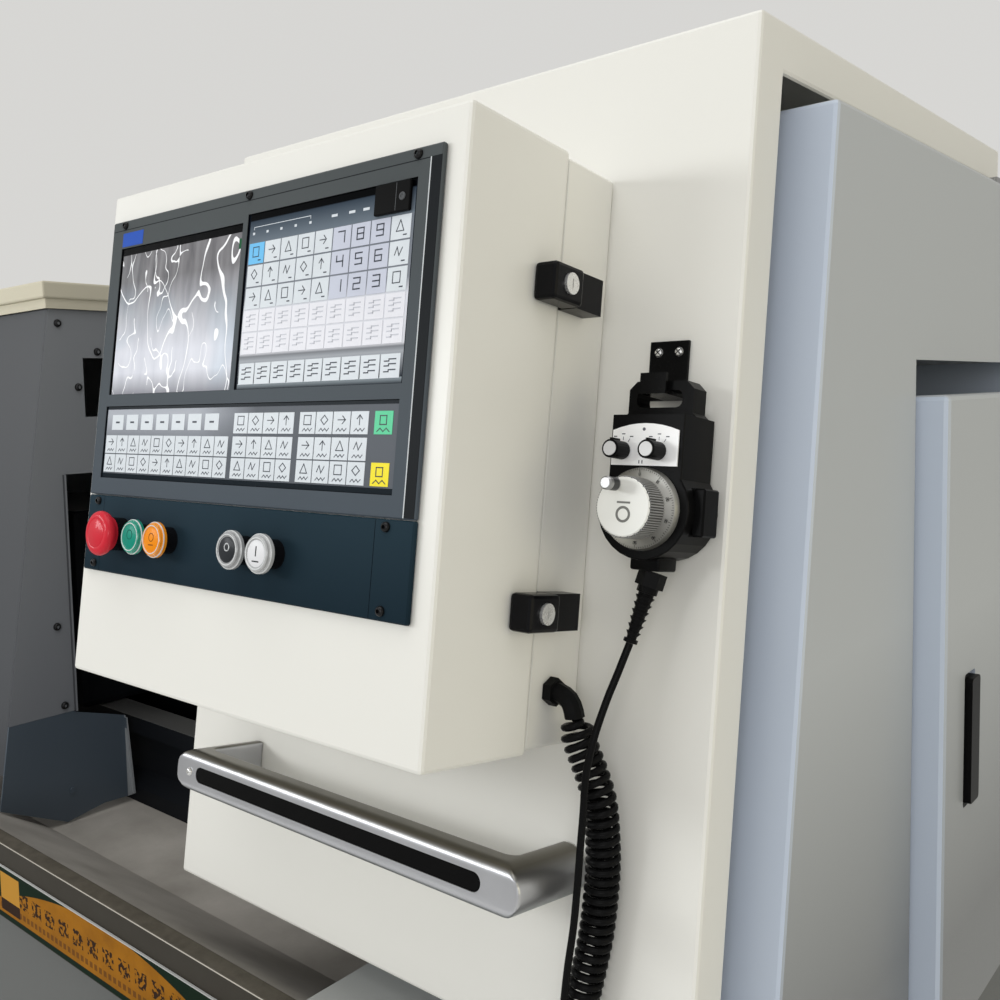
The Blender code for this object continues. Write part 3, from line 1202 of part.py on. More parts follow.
def make_dial():
    """Graduated dial with a raised grip disc, and the small crank knob on it."""
    at = (CASE_X, CASE_V)
    base = CASE_W[1] + GAP
    start = on_slant(*at, base)
    disc = DIAL_THICK + DISC_THICK
    rim = DIAL_RADIUS - PANEL_EDGE
    profile = [(0, disc), (DISC_RADIUS - PANEL_EDGE, disc), (DISC_RADIUS, disc - PANEL_EDGE),
               (DISC_RADIUS, DIAL_THICK), (rim, DIAL_THICK - PANEL_EDGE), (DIAL_RADIUS, 0),
               (0, 0)]
    dial = turned("pendant_dial", profile, ROUND_LARGE, start, (0, -1, 0), "silver_plate", SLANT)
    notches = []
    for index in range(DISC_NOTCHES):
        angle = math.tau * index / DISC_NOTCHES
        x = CASE_X + DISC_RADIUS * math.cos(angle)
        v = CASE_V + DISC_RADIUS * math.sin(angle)
        notches.append((on_slant(x, v, base + DIAL_THICK + SCREW_SINK), on_slant(x, v, base + disc
                        + OVERRUN)))
    cut(dial, rods("dial_notches", DISC_NOTCH_RADIUS, notches, 6, SLANT))
    knob_at = (CASE_X + CRANK_OFFSET[0], CASE_V + CRANK_OFFSET[1])
    top = base + disc
    pin = slant_rod("crank_pin", CRANK_PIN_RADIUS, knob_at, (top - CRANK_PIN_LONG / 2, top
                    + CRANK_PIN_LONG), ROUND_TINY)
    fuse(dial, pin)
    low = top + CRANK_PIN_LONG + GAP
    knob = slant_rod("crank_knob", CRANK_KNOB_RADIUS, knob_at, (low, low + CRANK_KNOB_LONG),
                     ROUND_SMALL, "black_plastic", on_slant(*knob_at, low))
    rounded_edges(knob, PANEL_EDGE, 1)


def make_relief():
    """Ribbed strain relief of the pendant's cord, with the hexagonal gland above it."""
    start = on_slant(*RELIEF_START)
    end = on_slant(*RELIEF_END)
    along = (end - start).normalized()
    length = (end - start).length
    wide, narrow = RELIEF_RADII
    profile = [(0, length), (narrow, length)]
    pitch = (length - GLAND_LONG) / RELIEF_RIBS
    for index in range(RELIEF_RIBS):
        top = length - pitch * index
        share = index / RELIEF_RIBS
        radius = narrow + (wide - narrow) * share
        rib_end, groove, groove_end = [top - pitch * part for part in RIB_SHARES]
        profile += [(radius, rib_end), (radius - RELIEF_RIB, groove),
                    (radius - RELIEF_RIB, groove_end)]
    profile += [(wide, GLAND_LONG), (wide, 0), (0, 0)]
    relief = turned("pendant_strain_relief", profile, ROUND_TINY, start, along, "black_rubber",
                    SLANT)
    above, below = [start + along * GLAND_LONG * part for part in GLAND_SHARES]
    gland = rod("relief_gland", GLAND_RADIUS, above, below, GLAND_FLATS, None, SLANT)
    fuse(relief, gland)


def make_cords():
    """The pendant's straight cord, its coiled length and the elbow gland on the control box."""
    tube("pendant_cord", CORD_POINTS, CORD_STEP, CORD_RADIUS, 2, "black_rubber")
    tube("pendant_coil", COIL_POINTS, COIL_STEP, COIL_RADIUS, 3, "black_rubber")
    elbow = tube("box_gland", ELBOW_POINTS, ELBOW_STEP, ELBOW_RADIUS, 3, "black_rubber")
    radius, long = BOX_GLAND_BASE
    centre = on_slant(0, BOX_GLAND_V, BOX_GLAND_W)
    along = Vector((1, 0, 0))
    base = rod("gland_base", radius, centre + along * (REAR_BOX_X[1] + GAP),
               centre + along * (REAR_BOX_X[1] + long), GLAND_FLATS, None, SLANT)
    fuse(elbow, base)


def make_carriage():
    """Saddle with its apron, cross slide and four-way tool post."""
    saddle = block("carriage", SADDLE_X, SADDLE_Y, SADDLE_Z, "cast_iron")
    rounded_edges(saddle, CARRIAGE_EDGE, 1)
    fuse(saddle, block("apron", APRON_X, APRON_Y, APRON_Z))
    cross = block("cross_slide", CROSS_X, CROSS_Y, CROSS_Z, "cast_iron")
    rounded_edges(cross, CARRIAGE_EDGE, 1)
    half = POST_HALF
    pivot = (POST_X, POST_Y, POST_Z[0])
    x = (POST_X - half, POST_X + half)
    y = (POST_Y - half, POST_Y + half)
    post = block("tool_post", x, y, POST_Z, "machined_steel", MACHINE, pivot)
    rounded_edges(post, CARRIAGE_EDGE / 2, 1)
    inner = half - POST_SLOT_DEEP
    slots = prism("post_slots", [box_outline((x[0] - OVERRUN, x[1] + OVERRUN), (y[0] - OVERRUN,
                  y[1] + OVERRUN)), box_outline((POST_X - inner, POST_X + inner),
                  (POST_Y - inner, POST_Y + inner))], "Z", POST_SLOT_Z)
    cut(post, slots)
    fuse(post, rod("post_nut", POST_NUT_RADIUS, (POST_X, POST_Y, POST_Z[1] - POST_NUT_RADIUS),
                   (POST_X, POST_Y, POST_NUT_TOP), GLAND_FLATS))


def make_tailstock():
    """Tailstock body on the bed, its quill with a live centre and its hand wheel."""
    axis = (SPINDLE_Y, SPINDLE_Z)
    body = block("tailstock", TAIL_BASE_X, TAIL_BASE_Y, TAIL_BASE_Z, "cast_iron")
    rounded_edges(body, TAIL_EDGE, 1)
    neck = block("tail_neck", TAIL_BODY_X, TAIL_NECK_Y, (TAIL_BASE_Z[1] - OVERRUN, SPINDLE_Z))
    barrel = rod("tail_barrel", TAIL_BODY_RADIUS, (TAIL_BARREL_X[0], *axis),
                 (TAIL_BARREL_X[1], *axis), ROUND_MEDIUM)
    hole = rod("quill_hole", QUILL_RADIUS + QUILL_CLEAR, (TAIL_BODY_X[0] - OVERRUN, *axis),
               (TAIL_BODY_X[1] - OVERRUN / 2, *axis), ROUND_MEDIUM)
    fuse(body, neck, barrel)
    cut(body, hole)
    centre = QUILL_X[0]
    profile = [(0, CENTRE_X), (CENTRE_BASE, CENTRE_X + CENTRE_CONE),
               (CENTRE_BASE, centre), (QUILL_RADIUS, centre), (QUILL_RADIUS, QUILL_X[1]),
               (0, QUILL_X[1])]
    profile = [(radius, -height) for radius, height in profile]
    turned("tailstock_quill", profile, ROUND_MEDIUM, (0, *axis), (-1, 0, 0), "machined_steel")
    wheel = rod("tailstock_wheel", WHEEL_RADIUS, (WHEEL_X[0], *axis), (WHEEL_X[1], *axis),
                ROUND_MEDIUM, "machined_steel", MACHINE, (WHEEL_X[0], *axis))
    rounded_edges(wheel, WHEEL_RIM / 2, 1)
    holes = []
    for index in range(WHEEL_HOLES):
        angle = math.tau * (index + 0.5) / WHEEL_HOLES
        y = SPINDLE_Y + WHEEL_HOLE_AT * math.cos(angle)
        z = SPINDLE_Z + WHEEL_HOLE_AT * math.sin(angle)
        holes.append(((WHEEL_X[0] - OVERRUN, y, z), (WHEEL_X[1] + OVERRUN, y, z)))
    cut(wheel, rods("wheel_holes", WHEEL_HOLE_RADIUS, holes, ROUND_TINY))
    hub = rod("wheel_hub", WHEEL_HUB, (WHEEL_HUB_X[0], *axis), (WHEEL_HUB_X[1], *axis),
              ROUND_SMALL)
    radius, long = WHEEL_KNOB
    knob_z = SPINDLE_Z + WHEEL_KNOB_AT
    knob = rod("wheel_grip", radius, (WHEEL_X[1] - WHEEL_RIM / 2, SPINDLE_Y, knob_z),
               (WHEEL_X[1] + long - WHEEL_RIM, SPINDLE_Y, knob_z), ROUND_TINY)
    fuse(wheel, hub, knob)


make_base()
make_tray()
make_end_cover()
make_bed()
make_headstock()
make_spindle()
make_chuck()
make_motor()
make_headstock_cover()
make_side_wall()
make_rear()
make_enclosure()
make_cabinet()
make_hood()
make_pull_handle()
make_box()
make_latches()
make_panel()
make_switches()
make_pendant()
make_dial()
make_relief()
make_cords()
make_carriage()
make_tailstock()
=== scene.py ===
import math

import bmesh
import bpy
from mathutils import Matrix, Vector


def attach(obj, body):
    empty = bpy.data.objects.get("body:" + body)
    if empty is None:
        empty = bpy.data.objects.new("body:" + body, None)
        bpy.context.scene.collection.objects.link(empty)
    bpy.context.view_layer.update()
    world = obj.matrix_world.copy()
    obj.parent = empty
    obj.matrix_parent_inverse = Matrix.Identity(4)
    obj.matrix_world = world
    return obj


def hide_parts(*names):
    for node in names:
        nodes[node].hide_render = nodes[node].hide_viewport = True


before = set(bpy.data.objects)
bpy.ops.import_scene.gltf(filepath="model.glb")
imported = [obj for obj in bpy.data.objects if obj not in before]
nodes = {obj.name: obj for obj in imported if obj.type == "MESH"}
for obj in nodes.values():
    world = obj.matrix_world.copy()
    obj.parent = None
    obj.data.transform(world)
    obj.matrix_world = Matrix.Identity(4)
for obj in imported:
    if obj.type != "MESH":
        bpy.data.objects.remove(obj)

for left_over in ("Cube", "Light", "Camera"):
    if left_over in bpy.data.objects:
        bpy.data.objects.remove(bpy.data.objects[left_over])
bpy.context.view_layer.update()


# Camera. It stands right of the control box at eye level and looks down a little, as the
# photograph does, with its frame moved a little to the side.
def placed(name, data):
    """A new object with its data, linked into the scene."""
    made = bpy.data.objects.new(name, data)
    bpy.context.scene.collection.objects.link(made)
    return made


lens = bpy.data.cameras.new("eye_level")
lens.lens = 36.87
lens.sensor_width = 36.0
lens.shift_x = 0.0912
lens.shift_y = -0.0215
lens.clip_end = 60.0
camera = placed("eye_level", lens)
ahead = Vector((-0.6802, 0.7288, -0.0774)).normalized()
level = ahead.cross(Vector((0, 0, 1))).normalized()
roll = Matrix.Rotation(math.radians(-1.48), 3, -ahead)
sideways = roll @ level
upwards = roll @ level.cross(ahead)
camera.matrix_world = Matrix((sideways, upwards, -ahead)).transposed().to_4x4()
camera.location = (1.20415, -0.95944, 1.4341)
bpy.context.scene.camera = camera
bpy.context.scene.view_settings.view_transform = "Standard"


# Daylight of a high workshop hall. The sky dome is plain and a little darker towards the
# ground, and what the camera sees behind the machine is a plain pale wall.
class Wire:
    """A value or colour in one node tree. Sums and products on it add their Math nodes."""

    def __init__(self, tree, socket=None):
        self.tree = tree
        self.socket = socket

    def node(self, kind, settings=None, inputs=None, output=0):
        """Any node: its type, its settings, then the values or links of its sockets."""
        made = self.tree.nodes.new(kind)
        for key, value in (settings or {}).items():
            if key == "stops":
                ramp = made.color_ramp
                for place, colour in value[2:]:
                    ramp.elements.new(place)
                for stop, (place, colour) in zip(ramp.elements, sorted(value)):
                    stop.position = place
                    stop.color = colour
            else:
                setattr(made, key, value)
        for key, value in (inputs or {}).items():
            if isinstance(value, Wire):
                self.tree.links.new(value.socket, made.inputs[key])
            else:
                made.inputs[key].default_value = value
        return Wire(self.tree, made.outputs[output])

    def maths(self, operation, *others):
        """This value and others through one Math node."""
        values = dict(enumerate((self, *others)))
        return self.node("ShaderNodeMath", {"operation": operation}, values)

    def __add__(self, other):
        return self.maths("ADD", other)

    def __sub__(self, other):
        return self.maths("SUBTRACT", other)

    def __rsub__(self, other):
        return self.node("ShaderNodeMath", {"operation": "SUBTRACT"}, {0: other, 1: self})

    def __mul__(self, other):
        return self.maths("MULTIPLY", other)

    def __pow__(self, other):
        return self.maths("POWER", other)

    def __gt__(self, other):
        return self.maths("GREATER_THAN", other)

    def __lt__(self, other):
        return self.maths("LESS_THAN", other)

    __radd__ = __add__
    __rmul__ = __mul__

    def mix(self, low, high):
        """The colour low where this wire is 0 and high where it is 1."""
        return self.node("ShaderNodeMix", {"data_type": "RGBA"}, {0: self, 6: low, 7: high}, 2)

    def noise(self, scale, detail=2.0, rough=0.5):
        return self.node("ShaderNodeTexNoise", None, {"Vector": self, "Scale": scale,
                         "Detail": detail, "Roughness": rough})

    def vector(self, operation, other=(0, 0, 0), output="Vector"):
        settings = {"operation": operation}
        return self.node("ShaderNodeVectorMath", settings, {0: self, 1: other}, output)

    def stretched(self, x, y, z):
        return self.vector("MULTIPLY", (x, y, z))

    def part(self, letter):
        """The x, y or z of a place."""
        return self.node("ShaderNodeSeparateXYZ", None, {0: self}, letter)

    def between(self, low, high):
        """0 at low, 1 at high, straight in between."""
        return self.node("ShaderNodeMapRange", {"clamp": True}, {0: self, 1: low, 2: high})

    def within(self, low, high):
        """1 between two values and 0 outside them."""
        return (self > low) * (self < high)

    def normal(self, letter):
        """The x, y or z of the way that the surface looks."""
        return self.node("ShaderNodeTexCoord", output="Normal").part(letter)

    def bump(self, strength, distance):
        return self.node("ShaderNodeBump", None, {"Strength": strength, "Distance": distance,
                         "Height": self})


world = bpy.data.worlds.new("hall")
bpy.context.scene.world = world
world.use_nodes = True
sky = world.node_tree.nodes["Background"]
air = Wire(world.node_tree)
seen = air.node("ShaderNodeLightPath", output="Is Camera Ray")
height = air.node("ShaderNodeTexCoord", output="Generated").part("Z").between(-0.5, 0.9)
brightness = 0.27 + height * 0.36
sky.inputs["Color"].default_value = (1.0, 0.992, 0.965, 1.0)
world.node_tree.links.new((brightness + seen * (0.68 - brightness)).socket, sky.inputs["Strength"])


def soft_box(name, place, target, width, tall, power, colour):
    lamp = bpy.data.lights.new(name, "AREA")
    lamp.shape = "RECTANGLE"
    lamp.size = width
    lamp.size_y = tall
    lamp.energy = power
    lamp.color = colour
    made = placed(name, lamp)
    made.location = place
    away = Vector(place) - Vector(target)
    made.rotation_euler = away.to_track_quat("Z", "Y").to_euler()


soft_box("front_window", (-1.55, -2.95, 2.2), (0.4, -0.4, 1.2), 2.6, 0.55, 43.0, (0.96, 0.985, 1.0))
soft_box("roof_light", (0.6, -1.2, 4.2), (0.3, 0.0, 1.0), 3.0, 2.4, 32.0, (0.98, 0.99, 1.0))
soft_box("side_bounce", (4.2, 0.2, 1.5), (0.6, 0.0, 1.1), 2.4, 1.6, 18.5, (1.0, 0.92, 0.62))
soft_box("aisle_fill", (2.4, -3.4, 2.0), (0.7, -0.2, 1.3), 1.8, 1.4, 25.0, (0.99, 0.99, 1.0))

def as_mesh(name, shape):
    """A mesh of the bmesh, which is used up."""
    mesh = bpy.data.meshes.new(name)
    shape.to_mesh(mesh)
    shape.free()
    return mesh


ground = bmesh.new()
bmesh.ops.create_grid(ground, x_segments=1, y_segments=1, size=14.0)
floor = placed("floor", as_mesh("floor", ground))


def surface(name, recipe):
    """A Principled material. The recipe turns a place on the machine into socket values."""
    material = bpy.data.materials.new(name)
    material.use_nodes = True
    tree = material.node_tree
    shader = tree.nodes["Principled BSDF"]
    place = Wire(tree).node("ShaderNodeTexCoord", output="Object")
    for socket, value in recipe(place).items():
        if isinstance(value, Wire):
            tree.links.new(value.socket, shader.inputs[socket])
        else:
            shader.inputs[socket].default_value = value
    return material


def sealed_concrete(place):
    cloud = place.noise(1.2, 4.0)
    return {"Base Color": cloud.mix((0.70, 0.70, 0.69, 1), (0.76, 0.76, 0.75, 1)),
            "Roughness": 0.62}


floor.data.materials.append(surface("pale_floor", sealed_concrete))


# Base. Two welded sheet pedestals on feet with a plain front sheet between them, sprayed in
# a satin dark grey that gathers dust near the floor.
def dress(material, *names):
    for name in names:
        for place in nodes[name].material_slots:
            place.material = material


def sprayed(low, high, rough, peel=900.0, deep=0.00005, strength=0.25, dust=None):
    """Recipe of a sprayed coat: slow drift of tone, fine orange peel, and dust below a height."""
    def recipe(place):
        drift = place.noise(2.3, 3.0)
        skin = place.noise(peel, 1.0)
        colour = drift.mix(low, high)
        if dust:
            top, bottom, tone = dust
            settled = (1.0 - place.part("Z").between(bottom, top)) * place.noise(9.0, 5.0)
            colour = (settled * 0.8).mix(colour, tone)
        return {"Base Color": colour, "Roughness": rough + (skin - 0.5) * 0.10 + drift * 0.06,
                "Specular IOR Level": 0.12, "Normal": skin.bump(strength, deep)}
    return recipe


base_coat = surface("blue_grey_coat", sprayed((0.108, 0.112, 0.108, 1), (0.128, 0.132, 0.128, 1),
                    0.40, dust=(0.30, 0.0, (0.17, 0.16, 0.14, 1))))
dress(base_coat, "base")


# Chip tray. A folded steel pan with a flat rim, worn bright on its fold and stained brown
# by coolant and dust.
RIM_TOP = 0.8786
BRIGHT_FOLD_FOOT = 0.8772
LIP_FACE_Y = -0.3908


def coolant_stained(place):
    high = place.part("Z")
    cloud = place.noise(7.0, 6.0, 0.62)
    drops = place.noise(60.0, 4.0, 0.6)
    floor_tone = cloud.mix((0.18, 0.165, 0.140, 1), (0.58, 0.545, 0.50, 1))
    rim_tone = drops.mix((0.035, 0.031, 0.023, 1), (0.135, 0.118, 0.092, 1))
    colour = (high > RIM_TOP).mix(floor_tone, rim_tone)
    face = (place.part("Y") < LIP_FACE_Y) * (high < RIM_TOP)
    worn = face * (high > BRIGHT_FOLD_FOOT)
    colour = face.mix(colour, (0.034, 0.029, 0.021, 1))
    return {"Base Color": worn.mix(colour, (0.60, 0.57, 0.50, 1)),
            "Metallic": 0.10 + worn * 0.5, "Roughness": 0.40 + cloud * 0.30,
            "Specular IOR Level": 0.2, "Normal": drops.bump(0.3, 0.0002)}


dress(surface("stained_tray_steel", coolant_stained), "chip_tray")


# End cover of the tray. A light sheet box with a tongue over the tray's rim, sprayed in a
# plain light grey.
dress(surface("plain_grey_coat", sprayed((0.36, 0.37, 0.36, 1), (0.40, 0.41, 0.40, 1), 0.34)),
      "tray_end_cover")


# Sign plate. A thin enamelled strip on the lip of the tray: dark green, with an amber field
# under a long arc, a brighter tile at its left end and two rows of dark dashes.
ARC_MIDDLE_X = 0.179
ARC_TOP = 0.852
ARC_BEND = 0.75
AMBER_FOOT = 0.789
TILE_X = (-0.061, -0.011)
DASH_BROWN = (0.030, 0.016, 0.010, 1)


def enamel_fields(place):
    along = place.part("X")
    high = place.part("Z")
    off_middle = along - ARC_MIDDLE_X
    cloud = place.noise(26.0, 4.0, 0.6)
    amber = cloud.mix((0.17, 0.065, 0.006, 1), (0.40, 0.165, 0.014, 1))
    green = cloud.mix((0.004, 0.012, 0.007, 1), (0.010, 0.022, 0.012, 1))
    field = (high < ARC_TOP - off_middle * off_middle * ARC_BEND) * (high > AMBER_FOOT)
    tile = along.within(*TILE_X) * high.within(0.808, 0.843)
    tile_foot = along.within(*TILE_X) * high.within(0.793, 0.808)
    broken = place.noise(170.0, 2.0) > 0.50
    dashes = (along.maths("PINGPONG", 0.0165) < 0.0115) * high.within(0.809, 0.829) * broken
    small = (along.maths("PINGPONG", 0.005) < 0.0032) * high.within(0.795, 0.802)
    colour = field.mix(green, amber)
    colour = (dashes * field).mix(colour, DASH_BROWN)
    colour = (small * field * 0.7).mix(colour, (0.09, 0.035, 0.012, 1))
    colour = tile_foot.mix(tile.mix(colour, (0.46, 0.23, 0.035, 1)), DASH_BROWN)
    return {"Base Color": (high > 0.8488).mix(colour, (0.45, 0.45, 0.44, 1)),
            "Roughness": 0.34 + cloud * 0.2, "Specular IOR Level": 0.015}


dress(surface("enamelled_strip", enamel_fields), "sign_plate")


# Bed and headstock. Grey iron castings, ground bright on the flat face at their top. Their
# painted sides are coloured nearly black as painted shade of the work room.
def ground_iron(height, near=0.0006):
    """Recipe of iron ground on the face at one height, its paint near black as painted shade."""
    def recipe(place):
        top = place.part("Z").within(height - near, height + near)
        grit = place.noise(420.0, 3.0)
        grind = place.stretched(6.0, 420.0, 60.0).noise(1.0, 2.0)
        # Painted shade: the paint is coloured near black for the dark work room.
        painted = place.noise(4.0, 4.0).mix((0.003, 0.004, 0.006, 1), (0.006, 0.007, 0.009, 1))
        return {"Base Color": top.mix(painted, (0.34, 0.34, 0.33, 1)),
                "Metallic": top * 0.85, "Roughness": 0.52 - top * 0.22 + grind * 0.10,
                "Specular IOR Level": 0.12, "Normal": grit.bump(0.35, 0.00012)}
    return recipe


dress(surface("ground_bed_iron", ground_iron(0.920)), "bed")
dress(surface("headstock_iron", ground_iron(1.260)), "headstock")


# Spindle, chuck and jaws. Turned and ground steel: fine rings round the axis, and a darker
# hardened finish on the jaws.
SPINDLE_AXIS = (0.0, 0.0418, 1.100)


def turned_steel(tone, rough):
    def recipe(place):
        off_axis = place.stretched(0.0, 1.0, 1.0).vector("SUBTRACT", SPINDLE_AXIS)
        rings = (off_axis.vector("LENGTH", output="Value") * 4200.0).maths("SINE")
        smear = place.noise(40.0, 3.0)
        dull = (tone * 0.86, tone * 0.86, tone * 0.87, 1.0)
        return {"Base Color": smear.mix(dull, (tone, tone, tone * 0.99, 1.0)),
                "Metallic": 0.95, "Roughness": rough + smear * 0.12 + rings * 0.02,
                "Normal": rings.bump(0.10, 0.00003)}
    return recipe


dress(surface("ground_steel", turned_steel(0.55, 0.24)), "spindle", "chuck")
dress(surface("hardened_steel", turned_steel(0.30, 0.34)), "chuck_jaw_1", "chuck_jaw_2",
      "chuck_jaw_3")


# Spindle motor. A plain square body on a shoe, in a charcoal coat, behind the headstock's
# cover.
motor_coat = surface("charcoal_coat", sprayed((0.040, 0.042, 0.045, 1), (0.055, 0.057, 0.060, 1),
                    0.48, peel=700.0))
dress(motor_coat, "spindle_motor")


# Left covers. Folded sheet in a dark grey coat, with a lid on top and a blue-grey guard at
# the foot of the side wall, held by black button screws. The coat is painted darker and
# bluer towards the bottom and near black on faces that look forward, as painted shade. The
# lid is the cream coat painted darker and more yellow as shade, and the guard's folded edge
# carries a painted highlight.
def shop_grey(place):
    drift = place.noise(1.9, 3.0)
    skin = place.noise(750.0, 1.0)
    # Painted shade: darker and bluer below 1.35 m, and near black on faces that look forward.
    low = 1.0 - place.part("Z").between(0.80, 1.35)
    upper = drift.mix((0.205, 0.214, 0.226, 1), (0.240, 0.250, 0.262, 1))
    lower = drift.mix((0.165, 0.175, 0.195, 1), (0.190, 0.200, 0.222, 1))
    forward = place.normal("Y").between(-0.3, -0.8)
    colour = (forward * 0.8).mix(low.mix(upper, lower), (0.030, 0.032, 0.036, 1))
    return {"Base Color": colour, "Roughness": 0.44 + (skin - 0.5) * 0.10,
            "Specular IOR Level": 0.25, "Normal": skin.bump(0.22, 0.00006)}


wall_coat = surface("dark_wall_coat", shop_grey)
dress(wall_coat, "headstock_cover", "side_wall")


def guard_coat(place):
    drift = place.noise(3.0, 3.0)
    skin = place.noise(750.0, 1.0)
    # Painted highlight: the band along the folded edge is light grey.
    edge = place.part("Y").within(-0.0730, -0.0560)
    colour = drift.mix((0.062, 0.084, 0.110, 1), (0.080, 0.102, 0.128, 1))
    return {"Base Color": edge.mix(colour, (0.30, 0.32, 0.34, 1)),
            "Roughness": 0.40 + (skin - 0.5) * 0.10, "Normal": skin.bump(0.22, 0.00006)}


dress(surface("dark_guard_coat", guard_coat), "lower_side_guard")


# Painted shade: the lid's cream is coloured darker and more yellow.
dress(surface("shaded_cream_coat", sprayed((0.56, 0.52, 0.40, 1), (0.62, 0.58, 0.46, 1), 0.42)),
      "headstock_top_cover")


def piece(name, shape, material, body, place=Matrix.Identity(4), smooth=35):
    """The bmesh, moved from its own frame to the machine's, as a piece that rides on a body."""
    shape.transform(place)
    mesh = as_mesh(name, shape)
    mesh.materials.append(material)
    mesh.shade_smooth()
    mesh.set_sharp_from_angle(angle=math.radians(smooth))
    made = placed(name, mesh)
    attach(made, body)
    return made


def add_shape(shape, part):
    """Puts the faces of a second bmesh into the shape and frees it."""
    held = as_mesh("held", part)
    shape.from_mesh(held)
    bpy.data.meshes.remove(held)


def add_spun(shape, profile, place, steps=32):
    """A turned form. The profile lists radius and height along the place's own Z."""
    turned = bmesh.new()
    last = None
    edges = []
    for radius, height in profile:
        point = turned.verts.new((radius, 0, height))
        if last:
            edges.append(turned.edges.new((last, point)))
        last = point
    bmesh.ops.spin(turned, geom=list(turned.verts) + edges, cent=(0, 0, 0), axis=(0, 0, 1),
                   dvec=(0, 0, 0), angle=math.tau, steps=steps, use_merge=True)
    bmesh.ops.remove_doubles(turned, verts=turned.verts, dist=0.000005)
    bmesh.ops.recalc_face_normals(turned, faces=turned.faces)
    turned.transform(place)
    add_shape(shape, turned)


def facing(point, axis):
    """A frame at the point whose Z looks along the axis."""
    return Matrix.Translation(point) @ Vector(axis).to_track_quat("Z", "Y").to_matrix().to_4x4()


BOX_CORNER = (0.31875, -0.228237, 1.580)
MACHINE = Matrix.Translation((BOX_CORNER[0], BOX_CORNER[1], 0))


def button_screw(radius, tall):
    """Profile of a domed head with a socket in its middle."""
    socket = radius * 0.42
    return [(0, tall * 0.35), (socket, tall * 0.35), (socket, tall), (radius * 0.66, tall * 0.93),
            (radius * 0.90, tall * 0.62), (radius, tall * 0.20), (radius, -0.0002), (0, -0.0002)]


def black_oxide(place):
    wear = place.noise(900.0, 2.0)
    return {"Base Color": (0.012, 0.012, 0.013, 1), "Metallic": 0.6,
            "Roughness": 0.24 + wear * 0.12}


screw_black = surface("black_oxide", black_oxide)
WALL_FACE_X = -0.6000
WALL_SCREWS_YZ = ((0.072, 1.565), (0.138, 1.522), (0.102, 1.466), (0.045, 1.093), (0.051, 0.966))
wall_screws = bmesh.new()
for y, z in WALL_SCREWS_YZ:
    add_spun(wall_screws, button_screw(0.0062, 0.0046), facing((WALL_FACE_X, y, z), (1, 0, 0)), 20)
piece("side_wall_screws", wall_screws, screw_black, "machine", MACHINE)


# Rear guard and hood rail. The rear sheet closes the work room, and its side that looks into
# it is coloured near black as painted shade. The hood hangs on the drawn rail above it and
# slides on it.
def shadowed_sheet(place):
    # Painted shade: the side that looks into the work room is near black.
    inward = place.normal("Y").between(0.3, -0.3)
    drift = place.noise(1.7, 3.0)
    outside = drift.mix((0.36, 0.375, 0.385, 1), (0.40, 0.415, 0.425, 1))
    return {"Base Color": inward.mix(outside, (0.005, 0.006, 0.007, 1)),
            "Roughness": 0.45 + drift * 0.1, "Specular IOR Level": 0.12}


dress(surface("shadowed_sheet", shadowed_sheet), "rear_guard")


def rail_steel(place):
    run = place.stretched(8.0, 300.0, 300.0).noise(1.0, 2.0)
    return {"Base Color": (0.42, 0.42, 0.42, 1), "Metallic": 0.9, "Roughness": 0.25 + run * 0.15}


dress(surface("drawn_rail_steel", rail_steel), "hood_rail")


# Right enclosure and electrical cabinet. Folded and welded sheet in a cool grey coat, with
# the cabinet let into its side. A painted reflection colours its front blue and leaves its
# sides lighter above about 1.2 m than lower down.
def cool_grey(place):
    drift = place.noise(1.7, 3.0)
    skin = place.noise(800.0, 1.0)
    # Painted reflection: faces that look forward are blue, sides are lighter above 1.22 m than
    # below 0.9 m.
    forward = place.normal("Y").between(-0.1, -0.9)
    low = 1.0 - place.part("Z").between(0.90, 1.22)
    side = low.mix((0.465, 0.485, 0.495, 1), (0.175, 0.182, 0.188, 1))
    front = drift.mix((0.510, 0.575, 0.680, 1), (0.550, 0.615, 0.720, 1))
    return {"Base Color": forward.mix(side, front),
            "Roughness": 0.32 + (skin - 0.5) * 0.08 + drift * 0.06,
            "Coat Weight": 0.08, "Coat Roughness": 0.18, "Specular IOR Level": 0.3,
            "Normal": skin.bump(0.18, 0.00005)}


cool_coat = surface("cool_grey_coat", cool_grey)
dress(cool_coat, "right_enclosure", "electrical_cabinet", "cabinet_door")


# Cabinet door's lever. A bar moulded in black plastic that lies in a dish cut into the
# door's sheet.
def moulded(tone, rough, grain=1400.0, deep=0.00002):
    """Recipe of a moulded plastic or rubber in one dark tone."""
    def recipe(place):
        pores = place.noise(grain, 2.0)
        cloud = place.noise(30.0, 2.0)
        return {"Base Color": cloud.mix((tone * 0.85, tone * 0.86, tone * 0.90, 1),
                                        (tone * 1.15, tone * 1.15, tone * 1.18, 1)),
                "Roughness": rough + (pores - 0.5) * 0.12, "Normal": pores.bump(0.3, deep),
                "Specular IOR Level": 0.05}
    return recipe


black_plastic = surface("black_plastic", moulded(0.004, 0.34))
dress(black_plastic, "door_lever")


# Sliding hood. One folded front and right side in cream powder coat with softly rounded
# folds and a pebbled skin.
def powder(place):
    drift = place.noise(2.0, 3.0)
    peel = place.noise(520.0, 1.5)
    fine = place.noise(1300.0, 1.0)
    return {"Base Color": drift.mix((0.755, 0.744, 0.690, 1), (0.785, 0.774, 0.728, 1)),
            "Roughness": 0.34 + (peel - 0.5) * 0.12 + drift * 0.05,
            "Normal": (peel + fine * 0.35).bump(0.30, 0.00012)}


cream_coat = surface("cream_powder_coat", powder)
dress(cream_coat, "hood_shell")


